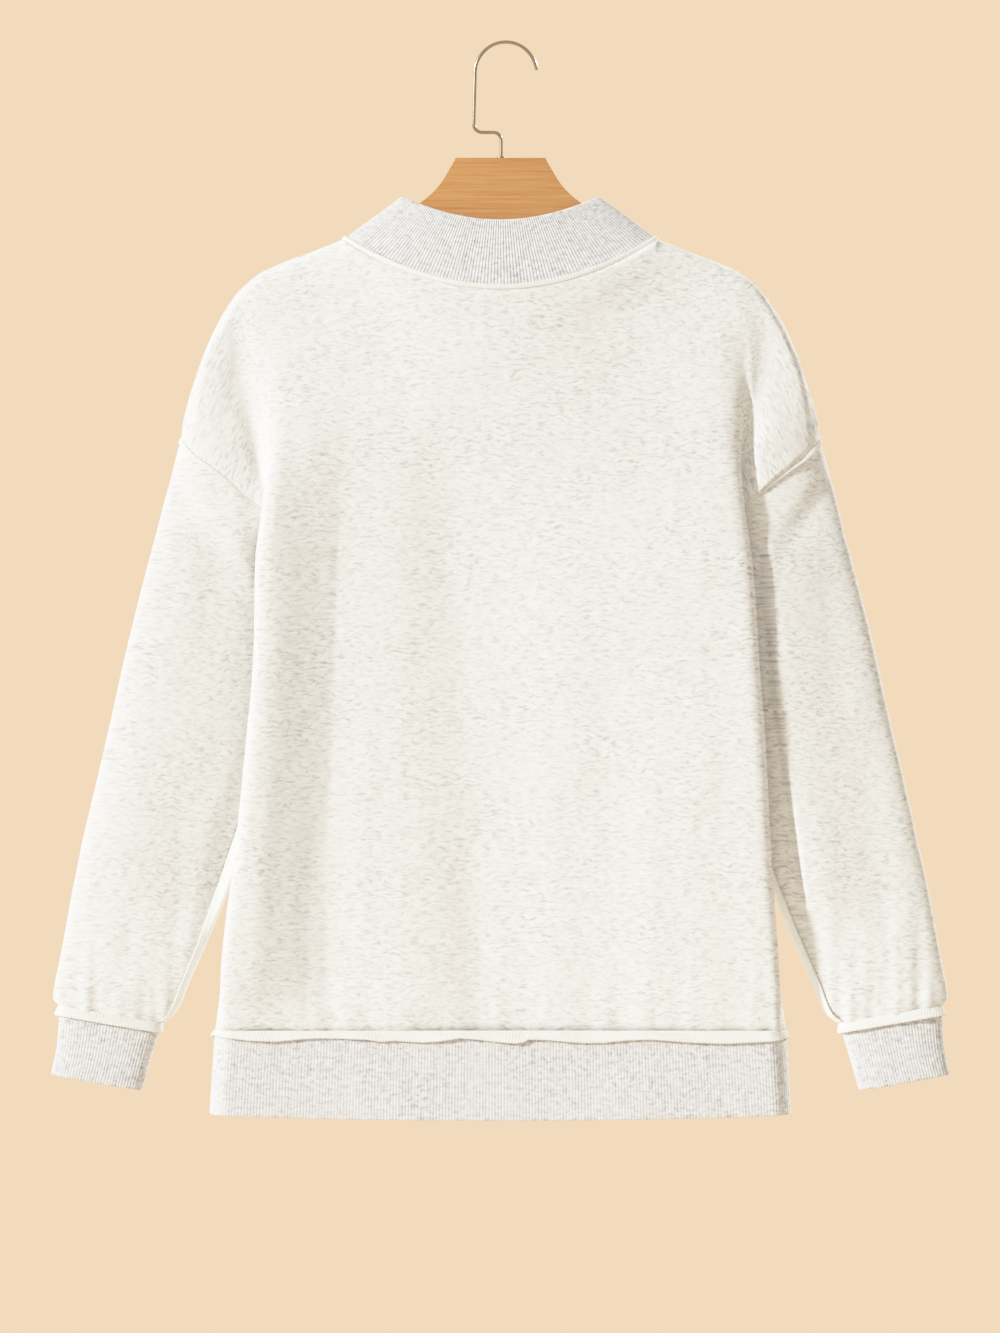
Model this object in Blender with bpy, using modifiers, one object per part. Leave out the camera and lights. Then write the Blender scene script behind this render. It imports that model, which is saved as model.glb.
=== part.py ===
"""Drop-shoulder tunic sweatshirt on a wooden hanger with a wire hook.

The garment hangs with its back to the viewer (-Y) and its front to the wall (+Y).
Sizes are millimetres, measured as (x, drop, y): x outwards from the centre line, drop down
from the underside of the hook's arch, y towards the garment's front. Meshes are in metres.
Each cloth piece is a wall through sections; seams carry their allowance on the outside.
"""
import math
from collections import namedtuple

import bmesh
import bpy
import numpy as np

MM = 0.001

# Cloth and seams
WALL = 2.0                 # thickness of the fleece-backed jersey and of the rib knit
GAP = 0.3                  # space between two sewn pieces
SEAM_ROOM = 0.35           # a wall stops this short of its seam line, so that rims stay apart
SHOULDER_ROOM = 0.6
BACK_NECK_ROOM = 0.9       # and this short of the curved neck seam
FRONT_NECK_ROOM = 1.5
SHOULDER_END_ROOM = 1.4    # added to that towards the armhole, where the seam turns down
SHOULDER_END = (240.0, 260.0)      # x over which it comes in
ALLOWANCE = 5.5            # width of the overlocked allowances that show outside
ALLOWANCE_THICK = 1.5

# Main sizes of the hung garment
NECK_HALF = 132.7          # neck seam, centre to neck point
NECK_POINT_DROP = 164.7
NECK_DEPTH = 24.0          # neck seam, wood plane to centre back or centre front
BACK_DIP_POWER = 2.0
FRONT_DIP_POWER = 2.6      # the front neckline stays high beside the neck points, then drops
BACK_NECK_DROP = 207.6
FRONT_NECK_DROP = 240.0
HEM_SEAM_DROP = 829.2
CENTRE_Y = -2.0            # plane that the hem ring is centred on
NECK_TO_FACE = 0.7348      # the neck point's place between the centre and the flat face's edge
NECK_STEPS = 8
NECK_ROUNDING = (0.5, 2.0)     # power of the neck's round: an ellipse at the seam, soft lower down
HIDDEN_ARMHOLE = (366.0, 392.0)    # drops between which the armhole goes in behind the body
HIDDEN_ARMHOLE_SHIFT = 3.4         # and how far the sleeve's edge lies behind it
LEFT, RIGHT = -1, 1

# How each seam allowance lies: lift off its wall, and the shares of the band's height, or of
# the wall's first row or column, at which it starts and ends
Lie = namedtuple("Lie", "lift start end")
NECK_LIE = Lie(0.5, 0.012, 0.105)
HEM_LIE = Lie(0.55, 0.004, 0.088)
CUFF_LIE = Lie(1.15, 0.012, 0.115)
CUFF_FLARE = 1.5               # the cuff's allowance stands out by this much more at its free edge
ARMHOLE_LIE = Lie(0.45, 0.12, 1.0)
UNDERARM_LIFT = 0.6
UNDERARM_COLUMNS = (-0.25, -1.0, -2.0)     # from the inner fold towards the viewer's side
SIDE_LIE = Lie(0.8, 0.06, 0.75)
SHOULDER_LIE = Lie(1.4, 0.06, 0.9)
SHOULDER_STRIP_END = 0.9       # how far along its last column, from the arm's to the neck's, it ends
SIDE_STRIP_ENDS = (12.0, 0.5)  # the side allowance's distance from the underarm and the hem seam
NECK_STRIP_POINTS = 56
CUFF_STRIP_POINTS = 32
HEM_STRIP_POINTS = (8, 26)     # in a round end, along a straight side

# Colours (scene-linear) and finishes
COLOURS = {
    "jersey": ((0.80, 0.78, 0.74), 0.95, 0.0),
    "rib": ((0.70, 0.68, 0.65), 0.95, 0.0),
    "seam": ((0.86, 0.85, 0.80), 0.95, 0.0),
    "wood": ((0.65, 0.33, 0.12), 0.45, 0.0),
    "steel": ((0.70, 0.68, 0.64), 0.25, 1.0),
}

# Seam lines of one half: x, drop, y
Knot = namedtuple("Knot", "x drop y")
SHOULDER_SEAM = [
    Knot(132.7, 164.7, 0), Knot(162.1, 176.3, 0), Knot(185.6, 185.6, 0), Knot(200.8, 192.4, 0),
    Knot(211.7, 200.8, 0), Knot(220.9, 210.1, 0), Knot(228.9, 221.8, 0), Knot(235.2, 234.4, 0),
    Knot(243.2, 251.2, 0), Knot(250.8, 268.0, 0.5), Knot(257.9, 287.4, 1), Knot(262.9, 302.5, 1.5),
    Knot(267.1, 319.3, 2.5), Knot(268.8, 332.7, 3),
]
ARMHOLE_BACK = [
    Knot(268.8, 332.7, 3), Knot(264.5, 338.6, -2.5), Knot(255.4, 347.8, -6), Knot(241.1, 357.9, -8),
    Knot(226.0, 369.7, -8), Knot(211.7, 381.4, -7), Knot(198.8, 391.5, -6), Knot(186.5, 416.7, -4.5),
    Knot(173.0, 458.7, -4), Knot(158.3, 517.5, -3),
]
ARMHOLE_FRONT = [
    Knot(268.8, 332.7, 3), Knot(262.6, 342.5, 9), Knot(245.3, 357.9, 15), Knot(225.1, 373.0, 18.5),
    Knot(205.8, 389.8, 21), Knot(188.2, 415.0, 23), Knot(175.6, 450.3, 22), Knot(165.5, 485.6, 16),
    Knot(158.3, 517.5, -3),
]
SIDE_SEAM = [
    Knot(158.3, 517.5, -3), Knot(178.9, 599.0, -3.5), Knot(200.8, 683.8, -3), Knot(220.1, 760.3, -2.5),
    Knot(239.4, 829.2, -1),
]

# Steps that each panel is cut into, between its sections and across its stations
BACK_ROW_STEPS = (1, 1, 2, 2, 2, 1, 1, 1, 1, 2, 2, 1, 1)
BACK_COLUMN_STEPS = (2, 2, 2, 3)
FRONT_ROW_STEPS = (1, 1, 1, 2, 1, 1, 1, 1, 2, 2, 1, 1)
FRONT_COLUMN_STEPS = (2, 2, 4)
SLEEVE_STEPS = (1, 1, 1, 1, 2, 1, 1, 1)

# Sections down the back panel. The cloth runs in from the seam over the cap, into the
# valley beside the body, round the crest that is the body's visible edge, to the flat face.
Back = namedtuple("Back", "centre neck seam cap_x cap_drop cap_y valley_x valley_drop valley_y "
                          "crest_x crest_drop crest_y face_x face_drop face_y centre_y")
BACK_SECTIONS = [
    Back(207.6, 164.7, 332.7, 253.7, 276, 1, 232.7, 229, 0, 211.7, 201, 0, 180.6, 184, 0, -24),
    Back(212.6, 165.2, 337.8, 253.3, 277, -4.5, 232.3, 230, -5.5, 211.4, 202, -5.5, 180.4, 185, -5.5, -24),
    Back(218.5, 170.5, 343.6, 248.8, 282, -8.5, 228.8, 235, -9.5, 208.3, 207, -9.5, 178.8, 190, -9.5, -23.5),
    Back(243.7, 215.1, 357.1, 232.7, 320, -9.5, 220.1, 279, -7.5, 199.1, 245, -13, 173.9, 230, -13.5, -22.5),
    Back(280.6, 265.5, 371.8, 217.1, 346, -8.5, 210.0, 317, -5.5, 194.9, 287, -14, 173.9, 276, -17, -22),
    Back(326.0, 319.3, 385.6, 205.0, 372, -6, 202.0, 355, -4, 194.5, 334, -14, 176.4, 325, -19, -21.5),
    Back(374.7, 373.0, 402.4, 194.9, 398, -5.5, 196.6, 391, -5, 198.2, 381, -13.5, 182.3, 375, -20, -21),
    Back(433.5, 433.5, 435.2, 187.3, 436, -5.5, 196.6, 436, -6.5, 205.4, 435, -13.5, 191.5, 434, -21, -21),
    Back(483.9, 483.9, 471.3, 183.1, 477, -5.5, 199.9, 482, -6.5, 209.2, 484, -13.5, 195.7, 484, -21, -21),
    Back(531.0, 531.0, 517.5, 179.8, 523, -5, 203.3, 529, -6.5, 212.1, 531, -13.5, 199.1, 531, -21, -21),
    Back(601.5, 601.5, 599.0, 194.9, 601, -5, 210.0, 601, -6.5, 218.4, 601, -13.5, 205.8, 601, -21, -21),
    Back(685.5, 685.5, 683.8, 210.8, 685, -4.5, 219.2, 685, -7, 225.5, 685, -13, 214.2, 685, -20.5, -20.5),
    Back(761.1, 761.1, 760.3, 226.0, 761, -4, 230.2, 761, -7.5, 232.7, 761, -12.5, 222.6, 761, -20, -20),
    Back(829.2, 829.2, 829.2, 239.6, 829.2, -4, 239.2, 829.2, -8, 236.0, 829.2, -13, 227.6, 829.2, -18, -19),
]
# Sections down the front panel, which needs no tuck: seam, cap, flank, flat face
Front = namedtuple("Front", "centre neck seam cap_x cap_drop cap_y flank_x flank_drop flank_y "
                            "face_x face_drop face_y centre_y")
FRONT_SECTIONS = [
    Front(240.0, 164.7, 332.7, 253.7, 276, 1, 222.6, 213, 0, 180.6, 184, 0, 24),
    Front(245.0, 165.2, 337.8, 253.3, 277, 6, 222.2, 213.6, 5.5, 180.4, 184.6, 5.5, 24.5),
    Front(251.0, 170.5, 343.6, 248.8, 282, 10, 218.8, 219, 9.5, 178.8, 190, 9.5, 24.5),
    Front(277.0, 215.1, 357.9, 232.7, 320, 15, 205.8, 266, 14, 173.9, 230, 13.5, 24),
    Front(311.0, 267.2, 374.7, 216.7, 350, 18.5, 195.7, 314, 17.5, 172.2, 282, 17, 23.5),
    Front(356.0, 332.7, 395.7, 199.9, 381, 21.5, 184.8, 358, 20.5, 163.8, 339, 20, 23),
    Front(404.1, 395.7, 429.3, 179.8, 419, 23, 172.2, 408, 22, 151.2, 400, 21.5, 23),
    Front(458.7, 457.0, 471.3, 164.6, 467, 20, 156.2, 464, 22, 138.6, 459, 22, 23),
    Front(521.7, 521.7, 517.5, 153.7, 518, 4, 142.8, 520, 15, 126.0, 522, 21.5, 23),
    Front(601.5, 601.5, 599.0, 173.0, 600, 4, 159.6, 601, 14, 138.6, 601, 20.5, 22),
    Front(685.5, 685.5, 683.8, 196.6, 685, 3, 182.3, 685, 11.5, 159.6, 685, 18, 21),
    Front(761.1, 761.1, 760.3, 218.4, 761, 3, 205.8, 761, 11, 184.8, 761, 16.5, 19),
    Front(829.2, 829.2, 829.2, 239.0, 829.2, 3, 236.0, 829.2, 8.5, 226.8, 829.2, 13.5, 15),
]
# Sections down a sleeve: its outer and inner folds, and the flattened tube between them
Sleeve = namedtuple("Sleeve", "outer_x outer_drop inner_x inner_drop centre_y half_depth")
SLEEVE_SECTIONS = [
    Sleeve(279.7, 370.5, 167.2, 542.7, 12, 13.0), Sleeve(291.5, 416.7, 179.8, 577.2, 12, 13.0),
    Sleeve(307.4, 477.2, 194.9, 618.3, 12, 13.0), Sleeve(325.9, 557.8, 211.7, 666.2, 12, 13.0),
    Sleeve(344.4, 637.6, 228.5, 711.6, 11, 12.5), Sleeve(359.5, 706.5, 247.8, 756.9, 10, 12.0),
    Sleeve(369.6, 761.1, 262.9, 790.5, 9, 11.5), Sleeve(376.6, 801.5, 274.0, 815.0, 8, 11.0),
    Sleeve(371.3, 808.6, 285.3, 823.6, 8, 9.6),
]
CUFF_SECTIONS = [
    Sleeve(371.3, 808.9, 285.3, 823.9, 8, 9.6), Sleeve(372.8, 838.0, 293.6, 851.0, 8, 9.8),
    Sleeve(378.3, 866.1, 301.6, 879.6, 8, 10.0),
]
# Soft vertical folds: centre and lean of the line, widths to each side, depth into the cloth
Fold = namedtuple("Fold", "x lean width_left width_right depth top bottom")
FOLD_LEVEL = 450.0             # drop at which a fold's line passes its x
FOLD_FADE_IN, FOLD_FADE_OUT = 130.0, 110.0
BACK_FOLDS = [
    Fold(-137, -0.035, 46, 12, 5.0, 270, 900), Fold(-58, 0.06, 48, 40, 3.5, 300, 900),
    Fold(84, 0.0, 26, 30, 1.6, 420, 900), Fold(186, 0.03, 30, 16, 2.0, 320, 860),
]
FRONT_FOLDS = [
    Fold(-96, -0.06, 18, 30, -4.5, 380, 930), Fold(-34, 0.02, 26, 22, -3.5, 330, 900),
    Fold(46, -0.02, 24, 30, -4.0, 360, 930), Fold(104, 0.05, 26, 16, -4.5, 400, 930),
]
# Neck ring, collar and hem band
COLLAR_TOP_HALF = 82.6
COLLAR_TOP_DEPTH = 17.0
COLLAR_TOP_SIDE_DROP = 128.0
COLLAR_TOP_BACK_DROP = 149.0
COLLAR_TOP_FRONT_DROP = 183.0
COLLAR_HEIGHT = 58.0           # seam to top edge, along the cloth
COLLAR_RIBS = 212
COLLAR_INNER_POINTS = 48       # points round the plain inside of a ribbed piece
HEM_BOTTOM_DROP = 901.6
HEM_TOP_HALF = 239.8
HEM_BOTTOM_HALF = 244.2
HEM_HALF_DEPTH = 17.0
HEM_WAVE = 0.010           # the hem allowance's edge waves by this share of the band's height
HEM_WAVES = 9
HEM_WAVE_PHASE = 1.3
HEM_SEAM_ROOM = 0.6        # the walls above the hem seam flare, so their rims need more room
HEM_RIBS = 392
HEM_INNER_POINTS = 56
CUFF_RIBS = 70
CUFF_INNER_POINTS = 28
TUBE_FLATNESS = 0.72       # below 1 the folds of a sleeve are tighter and its sides flatter
UNDERARM_COLUMN = 12       # column of a sleeve's grid that runs down its inner fold
RIB_HEIGHT = 0.7           # crest to groove of the rib knit

# Hanger
HANGER_THICK = 12.0
HANGER_SEAT = 1.9          # from the cloth's underside at the seam to the wood, whose rounded
                           # edges then lie 0.3 from the cloth that rolls over them
HANGER_TOP_DROP = 96.3
HANGER_TOP_HALF = 38.7
HANGER_TIP_X = 205.0
HANGER_TIP_FALL = 3.8      # the arm's end curves away under the cloth's shoulder
HANGER_TIP_CURVE = (165.0, 200.0)      # x over which it does
HANGER_ARM_HEIGHT = 30.0
HANGER_ROUNDING = 3.2
Outline = namedtuple("Outline", "x drop")
HANGER_FLARE = [
    Outline(44, 107.5), Outline(49, 116), Outline(56, 124.5), Outline(66, 133), Outline(82, 143),
    Outline(104, 157), Outline(124, 169.8),
]
HANGER_ARM_X = (146.0, 163.0, 180.0, 191.0, 198.0)
HANGER_TIP = [Outline(-1.5, 5), Outline(0, 11), Outline(-3, 18), Outline(-10, 22)]   # from the arm's end
HANGER_UNDER_X = (180.0, 150.0)
HANGER_UNDER = [
    Outline(120, 184), Outline(90, 173), Outline(60, 166.5), Outline(30, 163.5), Outline(0, 162.5),
]
WIRE_RADIUS = 1.5
Bend = namedtuple("Bend", "x drop radius")
HOOK_ARCH = Bend(4.5, 24.3, 25.8)
HOOK_ELBOW = Bend(-15.4, 67.4, 7.0)        # from the leg to the cross run
HOOK_STEM_BEND = Bend(-5.8, 80.7, 6.3)     # from the cross run to the stem
HOOK_LEG_END = Outline(-22.4, 66.0)
HOOK_CROSS_END_X = -7.0
HOOK_STEM_GAP = 0.5                        # the stem stops this short of the wood's top face


# --- curves ---------------------------------------------------------------------------------
def slopes(t, values):
    """Slopes of a monotone cubic through values at t, so that no column overshoots."""
    step = np.diff(t)
    delta = np.diff(values, axis=0) / step[:, None]
    out = np.zeros_like(values)
    before, after = delta[:-1], delta[1:]
    same = before * after > 0
    w1 = (2 * step[1:] + step[:-1])[:, None]
    w2 = (step[1:] + 2 * step[:-1])[:, None]
    safe_before = np.where(same, before, 1.0)
    safe_after = np.where(same, after, 1.0)
    mean = (w1 + w2) / (w1 / safe_before + w2 / safe_after)
    out[1:-1] = np.where(same, mean, 0.0)
    out[0], out[-1] = delta[0], delta[-1]
    return out


def smooth_through(t, values, at):
    """Read a smooth curve through the rows of values, which lie at t, at the places in at."""
    t = np.asarray(t, float)
    values = np.asarray(values, float)
    at = np.clip(np.asarray(at, float), t[0], t[-1])
    slope = slopes(t, values)
    k = np.clip(np.searchsorted(t, at, side="right") - 1, 0, len(t) - 2)
    h = t[k + 1] - t[k]
    s = ((at - t[k]) / h)[:, None]
    h = h[:, None]
    return ((2 * s**3 - 3 * s**2 + 1) * values[k] + (s**3 - 2 * s**2 + s) * h * slope[k]
            + (3 * s**2 - 2 * s**3) * values[k + 1] + (s**3 - s**2) * h * slope[k + 1])


def chord(points):
    """Distance along a line of points."""
    steps = np.linalg.norm(np.diff(np.asarray(points, float), axis=0), axis=1)
    return np.concatenate([[0.0], np.cumsum(steps)])


def along(knots, drop):
    """Point of a seam line at a drop."""
    knots = np.asarray(knots, float)
    return smooth_through(knots[:, 1], knots, [drop])[0]


def split(t, counts):
    """Places between the knots t, counts[i] steps in the i-th interval."""
    places = [np.linspace(t[i], t[i + 1], n, endpoint=False) for i, n in enumerate(counts)]
    return np.concatenate(places + [[t[-1]]])


def smoothstep(value, low, high):
    s = np.clip((value - low) / (high - low), 0.0, 1.0)
    return s * s * (3 - 2 * s)


def fold_depth(folds, x, drop):
    """How far the soft folds move the cloth in y at (x, drop)."""
    total = 0.0
    for fold in folds:
        line = fold.x + fold.lean * (drop - FOLD_LEVEL)
        width = fold.width_left if x < line else fold.width_right
        bump = math.exp(-((x - line) / width) ** 2)
        begin = smoothstep(drop, fold.top, fold.top + FOLD_FADE_IN)
        end = smoothstep(drop, fold.bottom - FOLD_FADE_OUT, fold.bottom)
        total += fold.depth * bump * begin * (1 - end)
    return total


# --- meshes ---------------------------------------------------------------------------------
def to_mesh_space(point):
    x, drop, y = point
    return (x * MM, y * MM, -drop * MM)


def material(name):
    found = bpy.data.materials.get(name)
    if found:
        return found
    colour, roughness, metallic = COLOURS[name]
    new = bpy.data.materials.new(name)
    new.use_nodes = True
    shader = new.node_tree.nodes["Principled BSDF"]
    shader.inputs["Base Color"].default_value = (*colour, 1.0)
    shader.inputs["Roughness"].default_value = roughness
    shader.inputs["Metallic"].default_value = metallic
    new.diffuse_color = (*colour, 1.0)
    return new


def place(collection, parent, name, data, slot):
    obj = bpy.data.objects.new(name, data)
    data.materials.append(material(slot))
    collection.objects.link(obj)
    obj.parent = parent
    return obj


def grid_normals(grid, closed):
    """Unit normals at the points of a grid, all on one side of it."""
    if closed:
        across = np.roll(grid, -1, axis=1) - np.roll(grid, 1, axis=1)
    else:
        across = np.gradient(grid, axis=1)
    down = np.gradient(grid, axis=0)
    normal = np.cross(across, down)
    return normal / np.maximum(np.linalg.norm(normal, axis=2, keepdims=True), 1e-9)


def outward_normals(grid, closed, inside):
    """The grid's normals on the side away from the points inside."""
    normals = grid_normals(grid, closed)
    inside = np.asarray(inside, float)
    points = grid.reshape(-1, 3)
    nearest = inside[((points[:, None, :] - inside[None, :, :]) ** 2).sum(axis=2).argmin(axis=1)]
    away = (normals.reshape(-1, 3) * (points - nearest)).sum()
    return normals if away > 0 else -normals


def surface_mesh(name, grid, closed, outward):
    """Loft between sections: grid[row][column] of (x, drop, y), facing the outward vectors."""
    bm = bmesh.new()
    rows = [[bm.verts.new(to_mesh_space(p)) for p in row] for row in grid]
    for upper, lower in zip(rows, rows[1:]):
        count = len(upper)
        for i in range(count if closed else count - 1):
            j = (i + 1) % count
            bm.faces.new((upper[i], upper[j], lower[j], lower[i]))
    bm.normal_update()
    out = np.array([to_mesh_space(v) for v in np.asarray(outward).reshape(-1, 3)])
    bm.verts.index_update()
    score = sum(face.calc_area() * sum(a * b for a, b in zip(face.normal, out[face.verts[0].index]))
                for face in bm.faces)
    if score < 0:
        bmesh.ops.reverse_faces(bm, faces=bm.faces)
    for face in bm.faces:
        face.smooth = True
    mesh = bpy.data.meshes.new(name)
    bm.to_mesh(mesh)
    bm.free()
    return mesh


def thicken(obj, thickness, offset):
    wall = obj.modifiers.new("wall", "SOLIDIFY")
    wall.thickness = thickness * MM
    wall.offset = offset
    wall.use_quality_normals = True
    wall.use_rim = True


# --- panels ---------------------------------------------------------------------------------
def neck_fractions(count):
    """Cosines of even angles, from the neck point (1) to just before the centre (0)."""
    return [math.cos(math.radians(90.0 * i / count)) for i in range(count)]


def half_section(section, side, seam, stations, counts, folds, dip_power, pull):
    """One half of a section, from its seam to just before the centre line."""
    knots = [seam] + stations
    knots = np.array([[p[0], p[1], p[2]] for p in knots])
    t = chord(knots)
    outer = smooth_through(t, knots, split(t, counts))
    outer[0] = pull
    face = stations[-1]
    neck_x = face[0] * NECK_TO_FACE
    near_neck = min((section.centre - section.neck) / (BACK_NECK_DROP - NECK_POINT_DROP), 1.0)
    power = NECK_ROUNDING[1] + (NECK_ROUNDING[0] - NECK_ROUNDING[1]) * near_neck
    inner = []
    for q in neck_fractions(NECK_STEPS):
        x = neck_x * q
        dip = (1 - q * q) ** (dip_power / 2)
        drop = section.neck + (section.centre - section.neck) * dip
        y = section.face_y + (section.centre_y - section.face_y) * (1 - q * q) ** power
        inner.append((x, drop, y))
    points = np.vstack([outer, np.array(inner)])
    points[:, 0] *= side
    for p in points[2:]:
        p[2] += fold_depth(folds, p[0], p[1])
    return points


def panel(sections, fields, armhole, folds, row_counts, counts, dip_power, neck_room):
    """Grid of a panel, left seam to right seam, shoulder and neck seam to hem seam.

    Also returns the points of the armhole seam that its rows start from.
    """
    centres = [s.centre for s in sections]
    kind = type(sections[0])
    underarm = SIDE_SEAM[0].drop
    grid, seam_points = [], []
    for values in smooth_through(centres, np.array(sections, float), split(centres, row_counts)):
        s = kind(*values)
        seam = along(armhole if s.seam < underarm else SIDE_SEAM, s.seam)
        if s.seam < underarm + 0.01:
            seam_points.append(seam)
        stations = [tuple(getattr(s, f"{field}_{axis}") for axis in ("x", "drop", "y"))
                    for field in fields]
        step = np.array(stations[0]) - seam
        pull = seam + step / np.linalg.norm(step) * SEAM_ROOM
        halves = [half_section(s, side, seam, stations, counts, folds, dip_power, pull)
                  for side in (LEFT, RIGHT)]
        centre = np.array([[0.0, s.centre, s.centre_y + fold_depth(folds, 0.0, s.centre)]])
        grid.append(np.vstack([halves[0], centre, halves[1][::-1]]))
    grid = np.array(grid)
    toward_hem = grid[1] - grid[0]
    toward_hem /= np.linalg.norm(toward_hem, axis=1, keepdims=True)
    in_neck = np.clip(1 - (grid[0, :, 0] / NECK_HALF) ** 4, 0, 1)[:, None]
    grid[0] += toward_hem * (SEAM_ROOM + (neck_room - SEAM_ROOM) * in_neck)
    x = np.abs(grid[0, :, 0])
    on_shoulder = np.where(x > NECK_HALF - 4, 1.0, 0.0)
    room = SHOULDER_ROOM * (on_shoulder + SHOULDER_END_ROOM * smoothstep(x, *SHOULDER_END))
    grid[0, :, 2] += math.copysign(1.0, sections[0].centre_y) * room
    grid[-1, :, 1] -= HEM_SEAM_ROOM
    return grid, np.array(seam_points)


def shoulder_top(grid, station_count):
    """Lay the first section's shoulder stretches on the shoulder seam line."""
    knots = np.array(SHOULDER_SEAM, float)
    seam_t = chord(knots)
    last = grid.shape[1]
    for side in (LEFT, RIGHT):
        for c in range(station_count) if side == LEFT else range(last - station_count, last):
            x = abs(grid[0, c, 0])
            if x <= knots[0, 0]:
                continue
            order = np.argsort(knots[:, 0])
            t = float(np.interp(x, knots[order, 0], seam_t[order]))
            point = smooth_through(seam_t, knots, [t])[0]
            grid[0, c] = (side * point[0], point[1], grid[0, c, 2])
    return grid


def body_core():
    """Points inside the body, which the panels' normals point away from."""
    widest, narrowing, step_down, step_across = 200, 60, 40, 25
    points = []
    for drop in range(int(NECK_POINT_DROP) + 20, int(HEM_BOTTOM_DROP), step_down):
        half = min(drop - narrowing, widest)
        points += [(x, drop, 0.0) for x in range(-half, half + 1, step_across)]
    return points


def round_angles(back_count, front_count):
    """Angles round a sleeve: outer fold, down its back side to the inner fold, front side."""
    back = np.linspace(0, np.pi, back_count, endpoint=False)
    front = np.linspace(np.pi, 2 * np.pi, front_count, endpoint=False)
    return np.concatenate([back, front])


def ring(section, angles, inset=0.0):
    """Flattened tube section, set in by a distance."""
    c, s = np.cos(angles), np.sin(angles)
    c = np.sign(c) * np.abs(c) ** TUBE_FLATNESS
    s = np.sign(s) * np.abs(s) ** TUBE_FLATNESS
    half_x = (section.outer_x - section.inner_x) / 2
    half_drop = (section.outer_drop - section.inner_drop) / 2
    x = (section.outer_x + section.inner_x) / 2 + (half_x - inset) * c
    drop = (section.outer_drop + section.inner_drop) / 2 + half_drop * c
    return np.column_stack([x, drop, section.centre_y - (section.half_depth - inset) * s])


def armhole_ring(back_seam, front_seam):
    """The armhole seam in the same order as ring(), clear of the body where it lies behind it."""
    points = np.vstack([back_seam[:-1], front_seam[:0:-1]])
    hidden = smoothstep(points[:, 1], *HIDDEN_ARMHOLE)
    back = np.arange(len(points)) < len(back_seam)
    points[:, 2] += np.where(back, hidden * HIDDEN_ARMHOLE_SHIFT, 0.0)
    return points


def sleeve_grid(side, back_seam, front_seam):
    """Sleeve rings, which leave the armhole seam and become flattened tubes."""
    angles = round_angles(len(back_seam) - 1, len(front_seam) - 1)
    values = np.array(SLEEVE_SECTIONS, float)
    t = chord(values[:, :4])
    rings = [ring(Sleeve(*row), angles) for row in smooth_through(t, values, split(t, SLEEVE_STEPS))]
    start = armhole_ring(back_seam, front_seam)
    toward = rings[0] - start
    toward /= np.linalg.norm(toward, axis=1, keepdims=True)
    edge = start + toward * SEAM_ROOM
    near = start + toward * (SEAM_ROOM + ALLOWANCE)
    middle = start * 0.5 + rings[0] * 0.5
    middle[:, 2] -= np.sin(angles)
    grid = np.array([edge, near, middle, *rings])
    grid[:, :, 0] *= side
    return grid


# --- pieces of cloth ------------------------------------------------------------------------
def add_wall(collection, parent, name, grid, closed, outward, slot="jersey"):
    obj = place(collection, parent, name, surface_mesh(name, grid, closed, outward), slot)
    thicken(obj, WALL, -1.0)


def add_allowance(collection, parent, name, strip, closed, outward):
    """A seam allowance: a strip of the piece below it, already moved out by the gap."""
    obj = place(collection, parent, name, surface_mesh(name, strip, closed, outward), "seam")
    thicken(obj, ALLOWANCE_THICK, 1.0)


def build_panels(collection, parent):
    core = body_core()
    back, back_seam = panel(BACK_SECTIONS, ("cap", "valley", "crest", "face"), ARMHOLE_BACK, BACK_FOLDS,
                            BACK_ROW_STEPS, BACK_COLUMN_STEPS, BACK_DIP_POWER, BACK_NECK_ROOM)
    front, front_seam = panel(FRONT_SECTIONS, ("cap", "flank", "face"), ARMHOLE_FRONT, FRONT_FOLDS,
                              FRONT_ROW_STEPS, FRONT_COLUMN_STEPS, FRONT_DIP_POWER, FRONT_NECK_ROOM)
    back = shoulder_top(back, sum(BACK_COLUMN_STEPS) + 1)
    front = shoulder_top(front, sum(FRONT_COLUMN_STEPS) + 1)
    add_wall(collection, parent, "back_panel", back, False, outward_normals(back, False, core))
    front_out = outward_normals(front, False, core)
    add_wall(collection, parent, "front_panel", front, False, front_out)
    return front, front_out, back_seam, front_seam


def build_sleeves(collection, parent, back_seam, front_seam):
    grids = {}
    for side, word in ((LEFT, "left"), (RIGHT, "right")):
        grid = sleeve_grid(side, back_seam, front_seam)
        out = outward_normals(grid, True, grid[2:].mean(axis=1))
        add_wall(collection, parent, f"{word}_sleeve", grid, True, out)
        grids[word] = grid, out
    return grids


def ribbed_band(collection, parent, name, ring_at, ribs, inner_count):
    """Rib-knit band: ribs raised in the outer points over a plain inside.

    ring_at(f, height, inset) gives the point at the fraction f of the way round, at the top
    (height 0) or bottom (1), inset from the outer surface.
    """
    bm = bmesh.new()
    outer_count = 2 * ribs
    outer, inner = [], []
    for height in (0.0, 1.0):
        outer.append([bm.verts.new(to_mesh_space(ring_at(i / outer_count, height, RIB_HEIGHT * (i % 2))))
                      for i in range(outer_count)])
        inner.append([bm.verts.new(to_mesh_space(ring_at(k / inner_count, height, WALL)))
                      for k in range(inner_count)])
    for i in range(outer_count):
        j = (i + 1) % outer_count
        bm.faces.new((outer[0][i], outer[0][j], outer[1][j], outer[1][i]))
    for k in range(inner_count):
        m = (k + 1) % inner_count
        bm.faces.new((inner[0][m], inner[0][k], inner[1][k], inner[1][m]))
    for level in (0, 1):
        zip_rim(bm, outer[level], inner[level])
    bmesh.ops.recalc_face_normals(bm, faces=bm.faces)
    mesh = bpy.data.meshes.new(name)
    bm.to_mesh(mesh)
    bm.free()
    place(collection, parent, name, mesh, "rib")


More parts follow.
